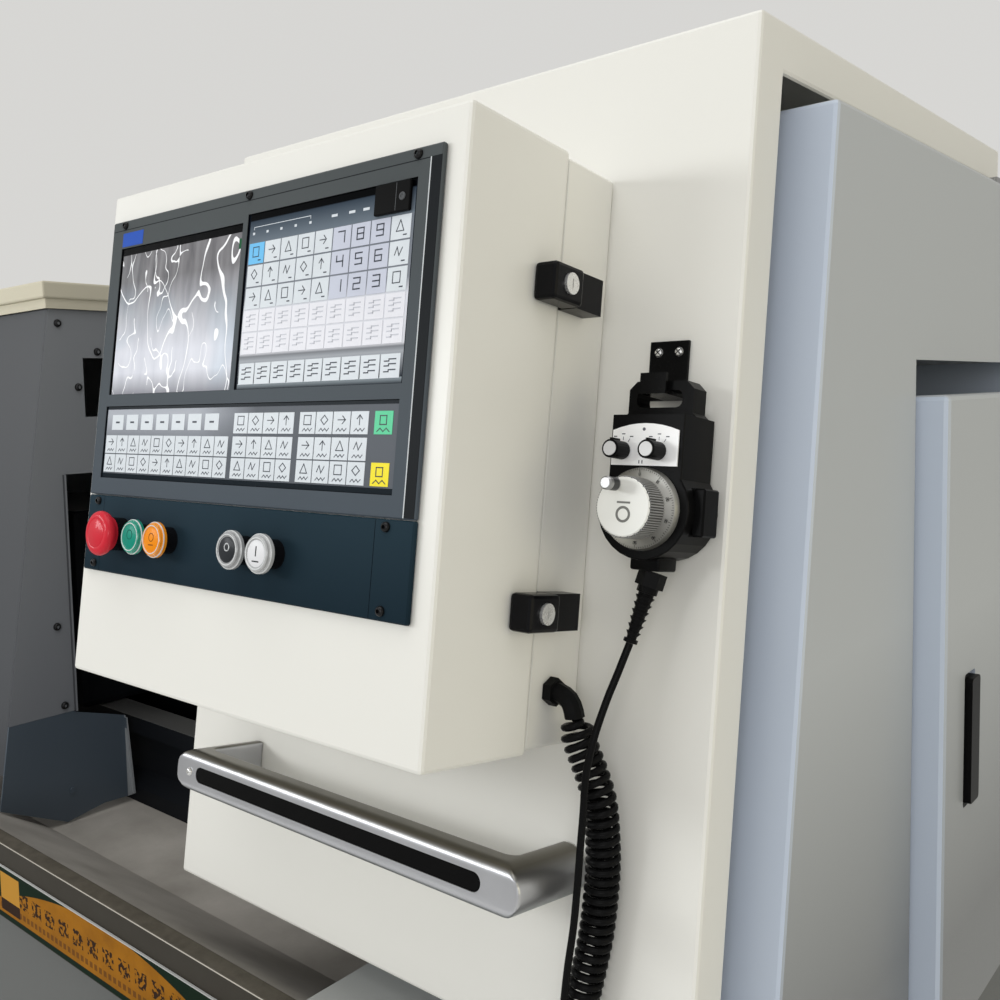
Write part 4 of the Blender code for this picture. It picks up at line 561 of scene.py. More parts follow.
# Control box. A shallow rear shell on the hood and a deep lid that swings to the left, both
# folded from sheet and powder coated in cream like the hood.
LEAN = math.radians(8.83)
FRONT = Matrix.Translation(BOX_CORNER) @ Matrix.Rotation(-LEAN, 4, "X")
dress(cream_coat, "box_rear", "box_lid")


def out_of_front(x, v, w):
    """A frame on the slanted front, w out of it, whose Z looks straight out."""
    return facing((x, -w, v), (0, -1, 0))


# Cam latches. Two black die-cast blocks, one on the lid and one on the rear shell, with a
# chromed key cylinder in the one on the lid.
def glossy_black(place):
    wave = place.noise(60.0, 2.0)
    return {"Base Color": (0.004, 0.004, 0.005, 1),
            "Roughness": 0.20 + wave * 0.08, "Specular IOR Level": 0.10}


die_cast = surface("black_die_cast", glossy_black)
dress(die_cast, "latch_upper", "latch_lower")


def chrome_plate(place):
    wear = place.noise(300.0, 3.0)
    return {"Base Color": (0.78, 0.78, 0.77, 1), "Metallic": 0.75, "Roughness": 0.22 + wear * 0.12}


chrome = surface("chrome_plate", chrome_plate)
dress(chrome, "key_upper", "key_lower")


# Operator panel. A dark grey plastic bezel, screwed to the lid with black button screws,
# with one window for the display and two for the key films. A groove runs under its top edge.
def shade(red, green, blue):
    """A colour as it shows on a screen, 0 to 255 each, turned into a socket's linear colour."""
    return tuple((part / 255) ** 2.2 for part in (red, green, blue)) + (1.0,)


def on_front(place):
    """Across, up and out of the slanted front, for a place on the machine."""
    across = place.part("X") - BOX_CORNER[0]
    back = place.part("Y") - BOX_CORNER[1]
    up = place.part("Z") - BOX_CORNER[2]
    return (across, back * math.sin(LEAN) + up * math.cos(LEAN),
            up * math.sin(LEAN) - back * math.cos(LEAN))


GROOVE_V = (-0.0096, -0.0088)
RIDGE_X = (0.4085, 0.4095)
BEZEL_FRONT = 0.1900


def bezel_plastic(place):
    x, v, w = on_front(place)
    pores = place.noise(1100.0, 2.0)
    cloud = place.noise(5.0, 2.0)
    low = cloud.mix(shade(74, 81, 88), shade(82, 89, 96))
    top = cloud.mix(shade(76, 80, 81), shade(84, 88, 89))
    colour = v.between(-0.26, -0.02).mix(low, top)
    below = v < GROOVE_V[1]
    # Painted shade in the groove under the top edge and on the right margin, and a painted
    # highlight on the ridge at the right edge.
    dark = v.within(*GROOVE_V) * (x < RIDGE_X[1]) + (x > RIDGE_X[1]) * below
    front = w > BEZEL_FRONT
    colour = (dark * front).mix(colour, shade(40, 42, 44))
    colour = (x.within(*RIDGE_X) * below * front).mix(colour, shade(196, 200, 202))
    # Painted shade: the walls of the windows are near black.
    wall = w.within(0.1860, 0.1898) * x.within(0.004, 0.416) * v.within(-0.256, -0.004)
    return {"Base Color": wall.mix(colour, (0.004, 0.004, 0.005, 1)),
            "Roughness": 0.36 + (pores - 0.5) * 0.10, "Normal": pores.bump(0.3, 0.00003),
            "Specular IOR Level": 0.02}


dress(surface("bezel_plastic", bezel_plastic), "operator_panel")
PANEL_FACE = 0.1903
PANEL_SCREWS = ((0.022, -0.005), (0.209, -0.005), (0.397, -0.005))
SCREW_HEAD = button_screw(0.0038, 0.0031)


def on_box(name, shape, material, body="lid"):
    """A piece whose shape is given on the slanted front."""
    return piece(name, shape, material, body, FRONT)


def turned_piece(name, profile, spots, w, material, body="lid", steps=20):
    """Like turned forms, one at each x and v of the slanted front, as one piece."""
    shape = bmesh.new()
    for x, v in spots:
        add_spun(shape, profile, out_of_front(x, v, w), steps)
    return on_box(name, shape, material, body)


turned_piece("panel_screws", SCREW_HEAD, PANEL_SCREWS, PANEL_FACE, screw_black)


def slab(shape, x, v, w):
    """A flat block between two values each of x, v and w on the slanted front."""
    middle = ((x[0] + x[1]) / 2, -(w[0] + w[1]) / 2, (v[0] + v[1]) / 2)
    size = Matrix.Diagonal((x[1] - x[0], w[1] - w[0], v[1] - v[0], 1))
    bmesh.ops.create_cube(shape, size=1, matrix=Matrix.Translation(middle) @ size)


def bar(shape, start, end, base, wide, tall=0.00012):
    """A thin flat stroke between two points of the slanted front, each an x and a v."""
    run = Vector((end[0] - start[0], 0, end[1] - start[1]))
    middle = ((start[0] + end[0]) / 2, -base - tall / 2, (start[1] + end[1]) / 2)
    turn = Matrix.Rotation(-math.atan2(run.z, run.x), 4, "Y")
    size = Matrix.Diagonal((run.length + wide, tall, wide, 1))
    bmesh.ops.create_cube(shape, size=1, matrix=Matrix.Translation(middle) @ turn @ size)


def line(shape, shares, x, v, base, wide):
    """A stroke through points given as shares of a field of the slanted front."""
    points = [(x[0] + (x[1] - x[0]) * a, v[0] + (v[1] - v[0]) * b) for a, b in shares]
    for start, end in zip(points, points[1:]):
        bar(shape, start, end, base, wide)


def slab_piece(name, x, v, w, material, body="lid"):
    shape = bmesh.new()
    slab(shape, x, v, w)
    on_box(name, shape, material, body)


def film(name, tint, rough=0.30, coat=0.04):
    """Printed film or smooth plastic in one colour, 0 to 255 each."""
    colour = shade(*tint)

    def recipe(place):
        cloud = place.noise(35.0, 2.0)
        deep = tuple(part * 0.90 for part in colour[:3]) + (1.0,)
        return {"Base Color": cloud.mix(deep, colour), "Roughness": rough + cloud * 0.08,
                "Coat Weight": coat, "Coat Roughness": 0.12, "Specular IOR Level": 0.08}
    return surface(name, recipe)


slab_piece("blue_field", (0.0190, 0.0530), (-0.0255, -0.0125), (0.1902, 0.1905),
           film("blue_print", (38, 82, 178)))


# Display. Dark glass behind a clear protective film that has crumpled into crooked folds,
# with a small green pull tab at its edge. Painted highlights whiten the folds, and a painted
# reflection lays grey streaks over the dark top, a pale haze below and a darker band at the foot.
def crumpled_film(place):
    x, v, _ = on_front(place)
    low = 1.0 - v.between(-0.128, -0.060)
    bent = place.stretched(1.0, 1.0, 0.62)
    wide_folds = (bent.noise(19.0, 1.5, 0.45) - 0.5).maths("ABSOLUTE")
    fine_folds = (bent.noise(47.0, 1.0, 0.5) - 0.52).maths("ABSOLUTE")
    gaps = bent.noise(23.0, 1.0) > 0.46
    folds = (wide_folds < 0.0052) + (fine_folds < 0.0080) * gaps
    folds = folds.maths("MINIMUM", 1.0)
    # Painted reflection: grey streaks over the dark glass, a pale bluish haze below and a darker
    # band at the foot.
    streak = place.stretched(90.0, 90.0, 9.0).noise(1.0, 3.0)
    dark = streak.mix(shade(44, 44, 48), shade(150, 148, 150))
    reflected_haze = streak.mix(shade(190, 193, 204), shade(232, 233, 240))
    tint = place.noise(12.0, 1.0)
    reflected_haze = tint.between(0.52, 0.70).mix(reflected_haze, shade(176, 196, 212))
    colour = (low * 0.92 + streak * 0.08).mix(dark, reflected_haze)
    foot = 1.0 - v.between(-0.164, -0.146)
    colour = (foot * 0.75).mix(colour, shade(112, 112, 120))
    # Painted highlights: the folds are near white.
    colour = folds.mix(colour, shade(246, 246, 248))
    rim = (v > -0.0340) + (x < 0.0205) + (x > 0.2012)
    colour = rim.maths("MINIMUM", 1.0).mix(colour, shade(9, 10, 12))
    return {"Base Color": colour, "Roughness": 0.16 + streak * 0.12, "Specular IOR Level": 0.04,
            "Normal": folds.bump(0.25, 0.0002)}


dress(surface("crumpled_film", crumpled_film), "display")
FILM_FACE = 0.1890
slab_piece("display_tab", (0.1985, 0.2028), (-0.0480, -0.0395), (FILM_FACE, FILM_FACE + 0.0004),
           film("green_tab", (20, 86, 52)))


# Keypad. A printed membrane in nine columns: a slate field with a white scale above, three
# rows of keys, two rows washed pale by a painted reflection and one row apart at the bottom.
def keypad_film(place):
    x, v, _ = on_front(place)
    shares = v.between(-0.166, -0.021)
    # Painted reflection: the film is pale between shares 0.20 and 0.44, over the fourth and fifth
    # rows.
    stops = [(0.0, shade(22, 32, 42)), (0.034, shade(140, 150, 156)), (0.035, shade(22, 32, 42)),
             (0.160, shade(156, 160, 166)), (0.185, shade(116, 119, 124)),
             (0.200, shade(206, 207, 213)), (0.440, shade(212, 214, 221)),
             (0.520, shade(128, 132, 140)), (0.830, shade(112, 118, 126)),
             (0.835, shade(104, 114, 124)), (0.955, shade(56, 66, 77)), (0.960, shade(8, 10, 13))]
    bands = shares.node("ShaderNodeValToRGB", {"stops": stops}, {0: shares})
    rim = (x < 0.2115) + (x > 0.3960)
    return {"Base Color": rim.mix(bands, shade(14, 20, 28)), "Roughness": 0.24,
            "Specular IOR Level": 0.03}


dress(surface("keypad_film", keypad_film), "keypad")
PITCH = (0.0202, 0.0185)
PAD_CORNER = (0.2130, -0.0459)
KEY_SIZE = (0.0190, 0.0172)
LAST_ROW_V = -0.1446
CAP_FACE = FILM_FACE + 0.0003
CAP_W = (FILM_FACE - 0.0001, CAP_FACE)
PRINT_W = (FILM_FACE, FILM_FACE + 0.00012)
SYMBOL_SHARES = (((0, 0), (1, 0), (1, 1), (0, 1), (0, 0)),
                 ((0.5, 0), (1, 0.5), (0.5, 1), (0, 0.5), (0.5, 0)),
                 ((0, 0.5), (1, 0.5), (0.6, 0.9), (1, 0.5), (0.6, 0.1)),
                 ((0.5, 0), (0.5, 1), (0.15, 0.6), (0.5, 1), (0.85, 0.6)),
                 ((0, 0), (0.5, 1), (1, 0), (0, 0)),
                 ((0, 0.2), (0.3, 0.9), (0.6, 0.1), (1, 0.8)))
SEGMENT_SHARES = {"top": ((0, 1), (1, 1)), "middle": ((0, 0.5), (1, 0.5)), "low": ((0, 0), (1, 0)),
                  "upper_left": ((0, 0.5), (0, 1)), "upper_right": ((1, 0.5), (1, 1)),
                  "lower_left": ((0, 0), (0, 0.5)), "lower_right": ((1, 0), (1, 0.5))}
UNLIT = {0: "middle", 1: "top middle low upper_left lower_left", 2: "upper_left lower_right",
         3: "upper_left lower_left", 4: "top low lower_left", 5: "upper_right lower_left",
         6: "upper_right", 7: "middle low upper_left lower_left", 8: "", 9: "lower_left"}


def number(shape, value, x, v, base, wide):
    """A plain numeral of straight bars in a field of the slanted front."""
    for name, shares in SEGMENT_SHARES.items():
        if name not in UNLIT[value].split():
            line(shape, shares, x, v, base, wide)


def cell(column, row):
    """Left and right, bottom and top of one key of the keypad, rows counted from the top."""
    left = PAD_CORNER[0] + PITCH[0] * column
    top = LAST_ROW_V if row == 5 else PAD_CORNER[1] - PITCH[1] * row
    return (left, left + KEY_SIZE[0]), (top - KEY_SIZE[1], top)


def inner(span, low, high):
    """The part of a span between two shares of it."""
    return span[0] + (span[1] - span[0]) * low, span[0] + (span[1] - span[0]) * high


pale_keys = bmesh.new()
number_keys = bmesh.new()
glare_washed_keys = bmesh.new()
lit_key = bmesh.new()
key_marks = bmesh.new()
glare_faint_marks = bmesh.new()
for row in range(6):
    for column in range(9):
        x, v = cell(column, row)
        # Painted reflection: the fourth and fifth rows get paler key film and faint marks.
        target = glare_washed_keys if row in (3, 4) else pale_keys
        if row < 3 and 5 <= column <= 7:
            target = number_keys
        if row == 0 and column == 0:
            target = lit_key
        slab(target, x, v, CAP_W)
        marks = glare_faint_marks if row in (3, 4) else key_marks
        if target is number_keys:
            number(marks, 7 - 3 * row + column - 5, inner(x, 0.30, 0.66), inner(v, 0.30, 0.78),
                   CAP_FACE, 0.0010)
        elif row < 3:
            line(marks, SYMBOL_SHARES[(column * 2 + row) % 6], inner(x, 0.28, 0.66),
                 inner(v, 0.34, 0.80), CAP_FACE, 0.0007)
            line(marks, ((0, 0), (1, 0)), inner(x, 0.66, 0.80), inner(v, 0.16, 0.20), CAP_FACE,
                 0.0009)
        else:
            for level in (0.70, 0.50, 0.26):
                line(marks, ((0, 0), (0.4, 0), (0.4, 1), (1, 1)), inner(x, 0.20, 0.78),
                     inner(v, level, level + 0.08), CAP_FACE, 0.0009)
pale_film = film("pale_key_film", (214, 220, 225))
on_box("keypad_keys", pale_keys, pale_film)
on_box("keypad_number_keys", number_keys, film("lavender_key_film", (196, 200, 214)))
on_box("keypad_washed_keys", glare_washed_keys, film("glare_washed_key_film", (228, 228, 234)))
on_box("keypad_lit_key", lit_key, film("blue_key_film", (112, 190, 238)))
dark_print = film("dark_print", (70, 74, 82), 0.5, 0.1)
on_box("keypad_marks", key_marks, dark_print)
on_box("keypad_faint_marks", glare_faint_marks, film("glare_faint_print", (196, 198, 206), 0.5, 0.1))

SCALE_X = (0.2170, 0.2860)
scale = bmesh.new()
line(scale, ((0, 0), (0, 1), (1, 1), (1, 0)), SCALE_X, (-0.0345, -0.0325), FILM_FACE, 0.0005)
for step in range(5):
    x = SCALE_X[0] + (SCALE_X[1] - SCALE_X[0]) * step / 4
    slab(scale, (x - 0.0013, x + 0.0013), (-0.0388, -0.0368), PRINT_W)
for x in (0.3100, 0.3290, 0.3440):
    slab(scale, (x, x + 0.0065), (-0.0372, -0.0352), PRINT_W)
on_box("scale_marks", scale, film("white_print", (214, 220, 226), 0.5, 0.1))


# Key strip. One long membrane in four groups: ten narrow columns, two blocks of four and a
# green start key over a yellow stop key, with seven pale keys in the first row.
def strip_film(place):
    x, v, _ = on_front(place)
    glare = v.between(-0.216, -0.186) * (1.0 - x.between(0.16, 0.24))
    between = glare.mix(shade(92, 96, 102), shade(168, 172, 180))
    rim = (v < -0.2395) + (v > -0.1800) + (x < 0.0178)
    colour = rim.maths("MINIMUM", 1.0).mix(between, shade(24, 32, 38))
    return {"Base Color": colour, "Roughness": 0.24, "Specular IOR Level": 0.03}


dress(surface("strip_film", strip_film), "key_strip")
STRIP_PITCH = 0.0188
STRIP_KEY = (0.0178, 0.0166)
STRIP_ROWS_V = (-0.1850, -0.2041, -0.2217)
GROUP_STARTS_X = (0.0190, 0.2120, 0.2930, 0.3735)
SHORT_KEY = (0.0190, 0.0140)
SHORT_START_X = 0.0270
SHORT_PITCH = 0.0242
strip_keys = bmesh.new()
strip_marks = bmesh.new()
for row, top in enumerate(STRIP_ROWS_V):
    v = (top - STRIP_KEY[1], top)
    for start, count in zip(GROUP_STARTS_X[:3], (10, 4, 4)):
        if row == 0 and count == 10:
            continue
        for column in range(count):
            x = (start + STRIP_PITCH * column, start + STRIP_PITCH * column + STRIP_KEY[0])
            slab(strip_keys, x, v, CAP_W)
            line(strip_marks, SYMBOL_SHARES[(column + row * 2) % 6], inner(x, 0.28, 0.72),
                 inner(v, 0.42, 0.84), CAP_FACE, 0.0007)
            line(strip_marks, ((0, 0), (0.2, 1), (0.4, 0), (0.6, 1), (0.8, 0), (1, 1)),
                 inner(x, 0.22, 0.80), inner(v, 0.13, 0.25), CAP_FACE, 0.0006)
for column in range(7):
    left = SHORT_START_X + SHORT_PITCH * column
    x = (left, left + SHORT_KEY[0])
    v = (STRIP_ROWS_V[0] - SHORT_KEY[1], STRIP_ROWS_V[0])
    slab(strip_keys, x, v, CAP_W)
    line(strip_marks, ((0, 0.5), (1, 0.5)), inner(x, 0.38, 0.62), inner(v, 0.4, 0.6), CAP_FACE,
         0.0016)
on_box("strip_keys", strip_keys, pale_film)
on_box("strip_marks", strip_marks, dark_print)
big_marks = bmesh.new()
for name, row, tint in (("start_key", 0, (92, 204, 152)), ("stop_key", 2, (244, 226, 52))):
    x = (GROUP_STARTS_X[3], GROUP_STARTS_X[3] + STRIP_KEY[0])
    v = (STRIP_ROWS_V[row] - STRIP_KEY[1], STRIP_ROWS_V[row])
    slab_piece(name, x, v, CAP_W, film(name + "_film", tint))
    line(big_marks, SYMBOL_SHARES[0], inner(x, 0.30, 0.66), inner(v, 0.42, 0.80), CAP_FACE, 0.0008)
    line(big_marks, ((0, 0), (0.25, 1), (0.5, 0), (0.75, 1), (1, 0)), inner(x, 0.16, 0.84),
         inner(v, 0.12, 0.26), CAP_FACE, 0.0007)
on_box("big_key_marks", big_marks, dark_print)


# Card cover. A small black flap over the card slot, hinged at its left edge, with a round
# lock near its right edge.
dress(black_plastic, "card_cover")
COVER_FACE = 0.1923
LOCK_CENTRE = (0.3860, -0.0335)
LOCK_PROFILE = [(0, 0.0003), (0.0012, 0.0003), (0.0015, 0.0008), (0.0026, 0.0008),
                (0.0030, 0.0004), (0.0030, -0.0001), (0, -0.0001)]
lock = bmesh.new()
add_spun(lock, LOCK_PROFILE, out_of_front(*LOCK_CENTRE, COVER_FACE), 24)
slab(lock, (0.3795, 0.3800), (-0.0430, -0.0230), (COVER_FACE - 0.0001, COVER_FACE + 0.0002))
on_box("card_cover_lock", lock, film("dark_lock_metal", (84, 86, 88)), "card_flap")


# Switch plate. A flat slate plate under the panel with the glossy black collars of the stop
# button and the four push buttons.
COLLAR_FOOT = 0.1908
PLATE_SCREWS = ((0.018, -0.2660), (0.019, -0.3240), (0.394, -0.2660), (0.395, -0.3240))


def slate_plate(place):
    x, v, w = on_front(place)
    cloud = place.noise(6.0, 2.0)
    grain = place.noise(900.0, 2.0)
    colour = cloud.mix(shade(37, 52, 60), shade(46, 60, 69))
    colour = (v.between(-0.262, -0.330) * 0.5).mix(colour, shade(20, 30, 38))
    seam = x.within(0.0270, 0.0276) + x.within(0.3830, 0.3836)
    colour = seam.mix(colour, shade(12, 16, 22))
    collar = w > COLLAR_FOOT
    return {"Base Color": collar.mix(colour, (0.006, 0.006, 0.007, 1)),
            "Roughness": 0.42 - collar * 0.26 + (grain - 0.5) * 0.06,
            "Coat Weight": collar * 0.3, "Normal": grain.bump(0.2, 0.00002),
            "Specular IOR Level": 0.015}


dress(surface("slate_plate", slate_plate), "switch_plate")
turned_piece("plate_screws", SCREW_HEAD, PLATE_SCREWS, PANEL_FACE, screw_black)


# Stop button. A red mushroom head with a shallow ring in its face and a red neck that slides
# over the black barrel.
BUTTONS_V = -0.2945
MUSHROOM = [(0, 0.2180), (0.0118, 0.2177), (0.0130, 0.2171), (0.0142, 0.2175), (0.0172, 0.2168),
            (0.0190, 0.2155), (0.0199, 0.2136), (0.0200, 0.2112), (0.0192, 0.2092),
            (0.0176, 0.2086), (0.0158, 0.2083), (0.0154, 0.2068), (0.0153, 0.2037),
            (0.0112, 0.2037), (0.0110, 0.1990), (0, 0.1990)]
red_plastic = film("red_plastic", (206, 44, 58), 0.36, 0.25)
red_head = turned_piece("stop_mushroom", MUSHROOM, [(0.062, BUTTONS_V)], 0, red_plastic,
                        "stop_head", 56)
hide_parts("stop_button")


# Push buttons. Each has a clear ribbed housing in two steps with a coloured lens inside that
# carries a small ring or a bar.
HOUSING = [(0.0110, 0.2093), (0.0114, 0.2099), (0.0129, 0.2100), (0.0136, 0.2094), (0.0138, 0.2076),
           (0.0146, 0.2071), (0.0154, 0.2064), (0.0155, 0.2040), (0.0150, 0.2035),
           (0.0122, 0.2035), (0.0122, 0.2070), (0.0086, 0.2070), (0.0086, 0.1986), (0, 0.1986),
           (0, 0.2093), (0.0110, 0.2093)]
LENS = [(0, 0.2098), (0.0096, 0.2096), (0.0105, 0.2092), (0.0105, 0.2088), (0, 0.2088)]
RIMS = ([(0.0114, 0.2099), (0.0116, 0.2101), (0.0122, 0.2101), (0.0124, 0.2099)],
        [(0.0146, 0.2071), (0.0149, 0.2073), (0.0153, 0.2070), (0.0154, 0.2064)])


def clear_plastic(tint, through):
    def recipe(place):
        cloud = place.noise(60.0, 2.0)
        return {"Base Color": tint, "Roughness": 0.10 + cloud * 0.06, "IOR": 1.49,
                "Transmission Weight": through, "Coat Weight": 0.3, "Coat Roughness": 0.05}
    return recipe


# Painted highlights: near-white rims on the two steps of each housing.
edge_glint_plastic = surface("housing_edge_glint", clear_plastic(shade(226, 228, 228), 0.2))
BUTTONS = {"green": (0.105, (34, 150, 126), (28, 138, 118), 0.1),
           "orange": (0.1385, (240, 148, 34), (238, 140, 26), 0.1),
           "clear": (0.243, (176, 177, 178), (50, 52, 55), 0.25),
           "white": (0.279, (196, 197, 198), (226, 226, 228), 0.25)}
MARK_TINTS = {"clear": (232, 234, 235), "white": (40, 42, 45), "green": (16, 96, 82),
              "orange": (132, 74, 14)}
RINGS = {"clear": (0.0028, 0.0009), "green": (0.0040, 0.0006), "orange": (0.0034, 0.0006)}
RING_V = -0.2925
RING_SIDES = 20
RING_FOOT = 0.20965
BAR_FOOT = 0.20955
MARK_TALL = 0.0002
for name, (x, outside, inside, through) in BUTTONS.items():
    body = name + "_cap"
    plastic = surface(name + "_housing_plastic", clear_plastic(shade(*outside), through))
    housing = turned_piece(name + "_housing", HOUSING, [(x, BUTTONS_V)], 0, plastic, body, 40)
    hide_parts("button_" + name)
    lens_plastic = film(name + "_lens_plastic", inside, 0.28)
    turned_piece(name + "_lens", LENS, [(x, BUTTONS_V)], 0, lens_plastic, body, 40)
    rims = bmesh.new()
    for rim in RIMS:
        add_spun(rims, rim, out_of_front(x, BUTTONS_V, 0), 40)
    on_box(name + "_rims", rims, edge_glint_plastic, body)
for name, tint in MARK_TINTS.items():
    x = BUTTONS[name][0]
    marks = bmesh.new()
    if name in RINGS:
        radius, wide = RINGS[name]
        corners = [math.tau * side / RING_SIDES for side in range(RING_SIDES + 1)]
        ring = [(x + radius * math.cos(turn), RING_V + radius * math.sin(turn)) for turn in corners]
        for start, end in zip(ring, ring[1:]):
            bar(marks, start, end, RING_FOOT, wide, MARK_TALL)
    if name == "white":
        bar(marks, (x, -0.2960), (x, -0.2895), RING_FOOT, 0.0012, MARK_TALL)
        bar(marks, (0.2755, -0.3005), (0.2825, -0.3005), BAR_FOOT, 0.0010, MARK_TALL)
    if name == "orange":
        bar(marks, (0.1355, -0.2990), (0.1415, -0.2990), BAR_FOOT, 0.0010, MARK_TALL)
    on_box(name + "_mark", marks, film(name + "_mark_print", tint, 0.4, 0.1), name + "_cap")


# Pull handle. A cast and satin-polished aluminium bar on two arms, half round at both ends,
# with a black strip in a slot along its front. The slot starts behind a small socket screw,
# and the left arm has a narrow dark slit along its top.
def satin_metal(place):
    grain = place.stretched(30.0, 900.0, 900.0).noise(1.0, 3.0)
    cloud = place.noise(22.0, 3.0)
    tilt = place.normal("Z")
    tone = cloud.mix((0.50, 0.505, 0.53, 1), (0.60, 0.605, 0.63, 1))
    # Painted reflection: the bar is darker and warmer on its top and darker and cooler underneath.
    tone = tilt.between(0.30, 0.85).mix(tone, (0.15, 0.14, 0.115, 1))
    tone = tilt.between(-0.25, -0.75).mix(tone, (0.13, 0.15, 0.155, 1))
    return {"Base Color": tone, "Metallic": 0.92,
            "Roughness": 0.25 + grain * 0.10 + cloud * 0.05, "Normal": grain.bump(0.08, 0.00003)}


def rounded_box(across, up, radius, steps=10):
    """Corners of a box between two values each way, with each corner an arc."""
    corners = ((across[1], up[1], 0), (across[0], up[1], 1), (across[0], up[0], 2),
               (across[1], up[0], 3))
    points = []
    for x, y, quarter in corners:
        centre = (x - math.copysign(radius, x - sum(across) / 2),
                  y - math.copysign(radius, y - sum(up) / 2))
        for step in range(steps + 1):
            angle = math.radians(90) * (quarter + step / steps)
            points.append((centre[0] + radius * math.cos(angle),
                           centre[1] + radius * math.sin(angle)))
    return points


def extruded(name, points, push):
    """A closed solid: the points, pushed along a vector."""
    shape = bmesh.new()
    face = shape.faces.new([shape.verts.new(point) for point in points])
    grown = bmesh.ops.extrude_face_region(shape, geom=[face])["geom"]
    bmesh.ops.translate(shape, vec=push, verts=[part for part in grown
                                                if isinstance(part, bmesh.types.BMVert)])
    bmesh.ops.recalc_face_normals(shape, faces=shape.faces)
    return placed(name, as_mesh(name, shape))


def carve(solid, operation, tool):
    """The solid after one Boolean with the tool, which is used up."""
    step = solid.modifiers.new(operation, "BOOLEAN")
    step.operation = operation
    step.solver = "EXACT"
    step.object = tool
    settle(solid)
    bpy.data.objects.remove(tool)


def settle(solid):
    """Keeps what the modifiers make of the solid as its own mesh."""
    bpy.context.view_layer.update()
    seen = solid.evaluated_get(bpy.context.evaluated_depsgraph_get())
    solid.data = bpy.data.meshes.new_from_object(seen)
    solid.modifiers.clear()


BAR_X = (0.0361, 0.4569)
BAR_V = (-0.5429, -0.5031)
BAR_W = (0.0004, 0.0899)
BAR_THICK = 0.0239
BAR_END = 0.0194
BEYOND = 0.010
SLOT_X = (0.068, 0.422)
SLOT_V = (-0.5305, -0.5155)
SLOT_DEEP = 0.0062
outer = rounded_box(BAR_X, (-BAR_W[1], BAR_W[1]), 0.002)
inner_line = rounded_box((BAR_X[0] + BAR_THICK, BAR_X[1] - BAR_THICK),
                         (BAR_THICK - BAR_W[1], BAR_W[1] - BAR_THICK), 0.008)
low, high = BAR_V[0] - BEYOND, BAR_V[1] + BEYOND
pull = extruded("pull_bar", [(x, -w, low) for x, w in outer], (0, 0, high - low))
carve(pull, "DIFFERENCE", extruded("between_arms", [(x, -w, low - BEYOND) for x, w in inner_line],
                                   (0, 0, high - low + BEYOND * 2)))
ends = rounded_box(BAR_X, BAR_V, BAR_END)
carve(pull, "INTERSECT", extruded("end_rounds", [(x, -BAR_W[0], v) for x, v in ends],
                                  (0, BAR_W[0] - BAR_W[1] - BEYOND, 0)))
edges = rounded_box((-BEYOND, BAR_W[1]), BAR_V, 0.009)
carve(pull, "INTERSECT", extruded("long_rounds", [(BAR_X[0] - BEYOND, -w, v) for w, v in edges],
                                  (BAR_X[1] - BAR_X[0] + BEYOND * 2, 0, 0)))
fine = pull.modifiers.new("fine", "REMESH")
fine.mode = "VOXEL"
fine.voxel_size = 0.0014
soft = pull.modifiers.new("soft", "SMOOTH")
soft.factor = 0.5
soft.iterations = 6
settle(pull)
slot = rounded_box(SLOT_X, SLOT_V, 0.0074)
carve(pull, "DIFFERENCE", extruded("slot", [(x, -BAR_W[1] + SLOT_DEEP, v) for x, v in slot],
                                   (0, -BEYOND, 0)))
bar_shape = bmesh.new()
bar_shape.from_mesh(pull.data)
bpy.data.objects.remove(pull)
satin_aluminium = surface("satin_aluminium", satin_metal)
pull = piece("pull_bar", bar_shape, satin_aluminium, "hood", FRONT, 40)
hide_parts("pull_handle")
dress(black_plastic, "handle_insert")
HANDLE_SCREW = (0.0580, -0.5230)
turned_piece("handle_screw", button_screw(0.0040, 0.0030), [HANDLE_SCREW], 0.0893, chrome,
             "hood", 24)
slab_piece("handle_slit", (0.0530, 0.0550), (-0.5045, -0.5034), (0.0180, 0.0560), black_plastic,
           "hood")


# Pendant bracket. A painted black steel strip bent into a hook, held by two bright
# cross-recessed screws.
dress(surface("black_painted_steel", moulded(0.004, 0.26, 500.0, 0.00004)), "pendant_bracket")
BRACKET_SCREWS = ((0.4885, -0.1175), (0.5055, -0.1175))
PAN_HEAD = [(0, 0.0021), (0.0018, 0.0020), (0.0031, 0.0013), (0.0036, 0.0003), (0.0036, -0.0001),
            (0, -0.0001)]
CROSS_REACH = 0.0016
CROSS_FOOT = 0.0053
turned_piece("bracket_screws", PAN_HEAD, BRACKET_SCREWS, 0.0033, chrome, "hood", 24)
recesses = bmesh.new()
for x, v in BRACKET_SCREWS:
    for rise in (CROSS_REACH, -CROSS_REACH):
        bar(recesses, (x - CROSS_REACH, v - rise), (x + CROSS_REACH, v + rise), CROSS_FOOT,
            0.0007, 0.0002)
on_box("bracket_screw_recesses", recesses, screw_black, "hood")


# Pendant case. One moulded black housing with a carrying loop at the top, an enabling
# button in its right side and a short neck below for the cord.
case_plastic = surface("pendant_plastic", moulded(0.004, 0.30, 1600.0, 0.00003))
dress(case_plastic, "pendant_case", "enable_button")
neck = bmesh.new()
slab(neck, (0.4975, 0.5215), (-0.2830, -0.2680), (0.0140, 0.0400))
bmesh.ops.bevel(neck, geom=neck.edges[:], offset=0.0018, segments=3, affect="EDGES",
                profile=0.5)
slab(neck, (0.5035, 0.5150), (-0.2825, -0.2690), (0.0120, 0.0150))
on_box("pendant_neck", neck, case_plastic, "hood")


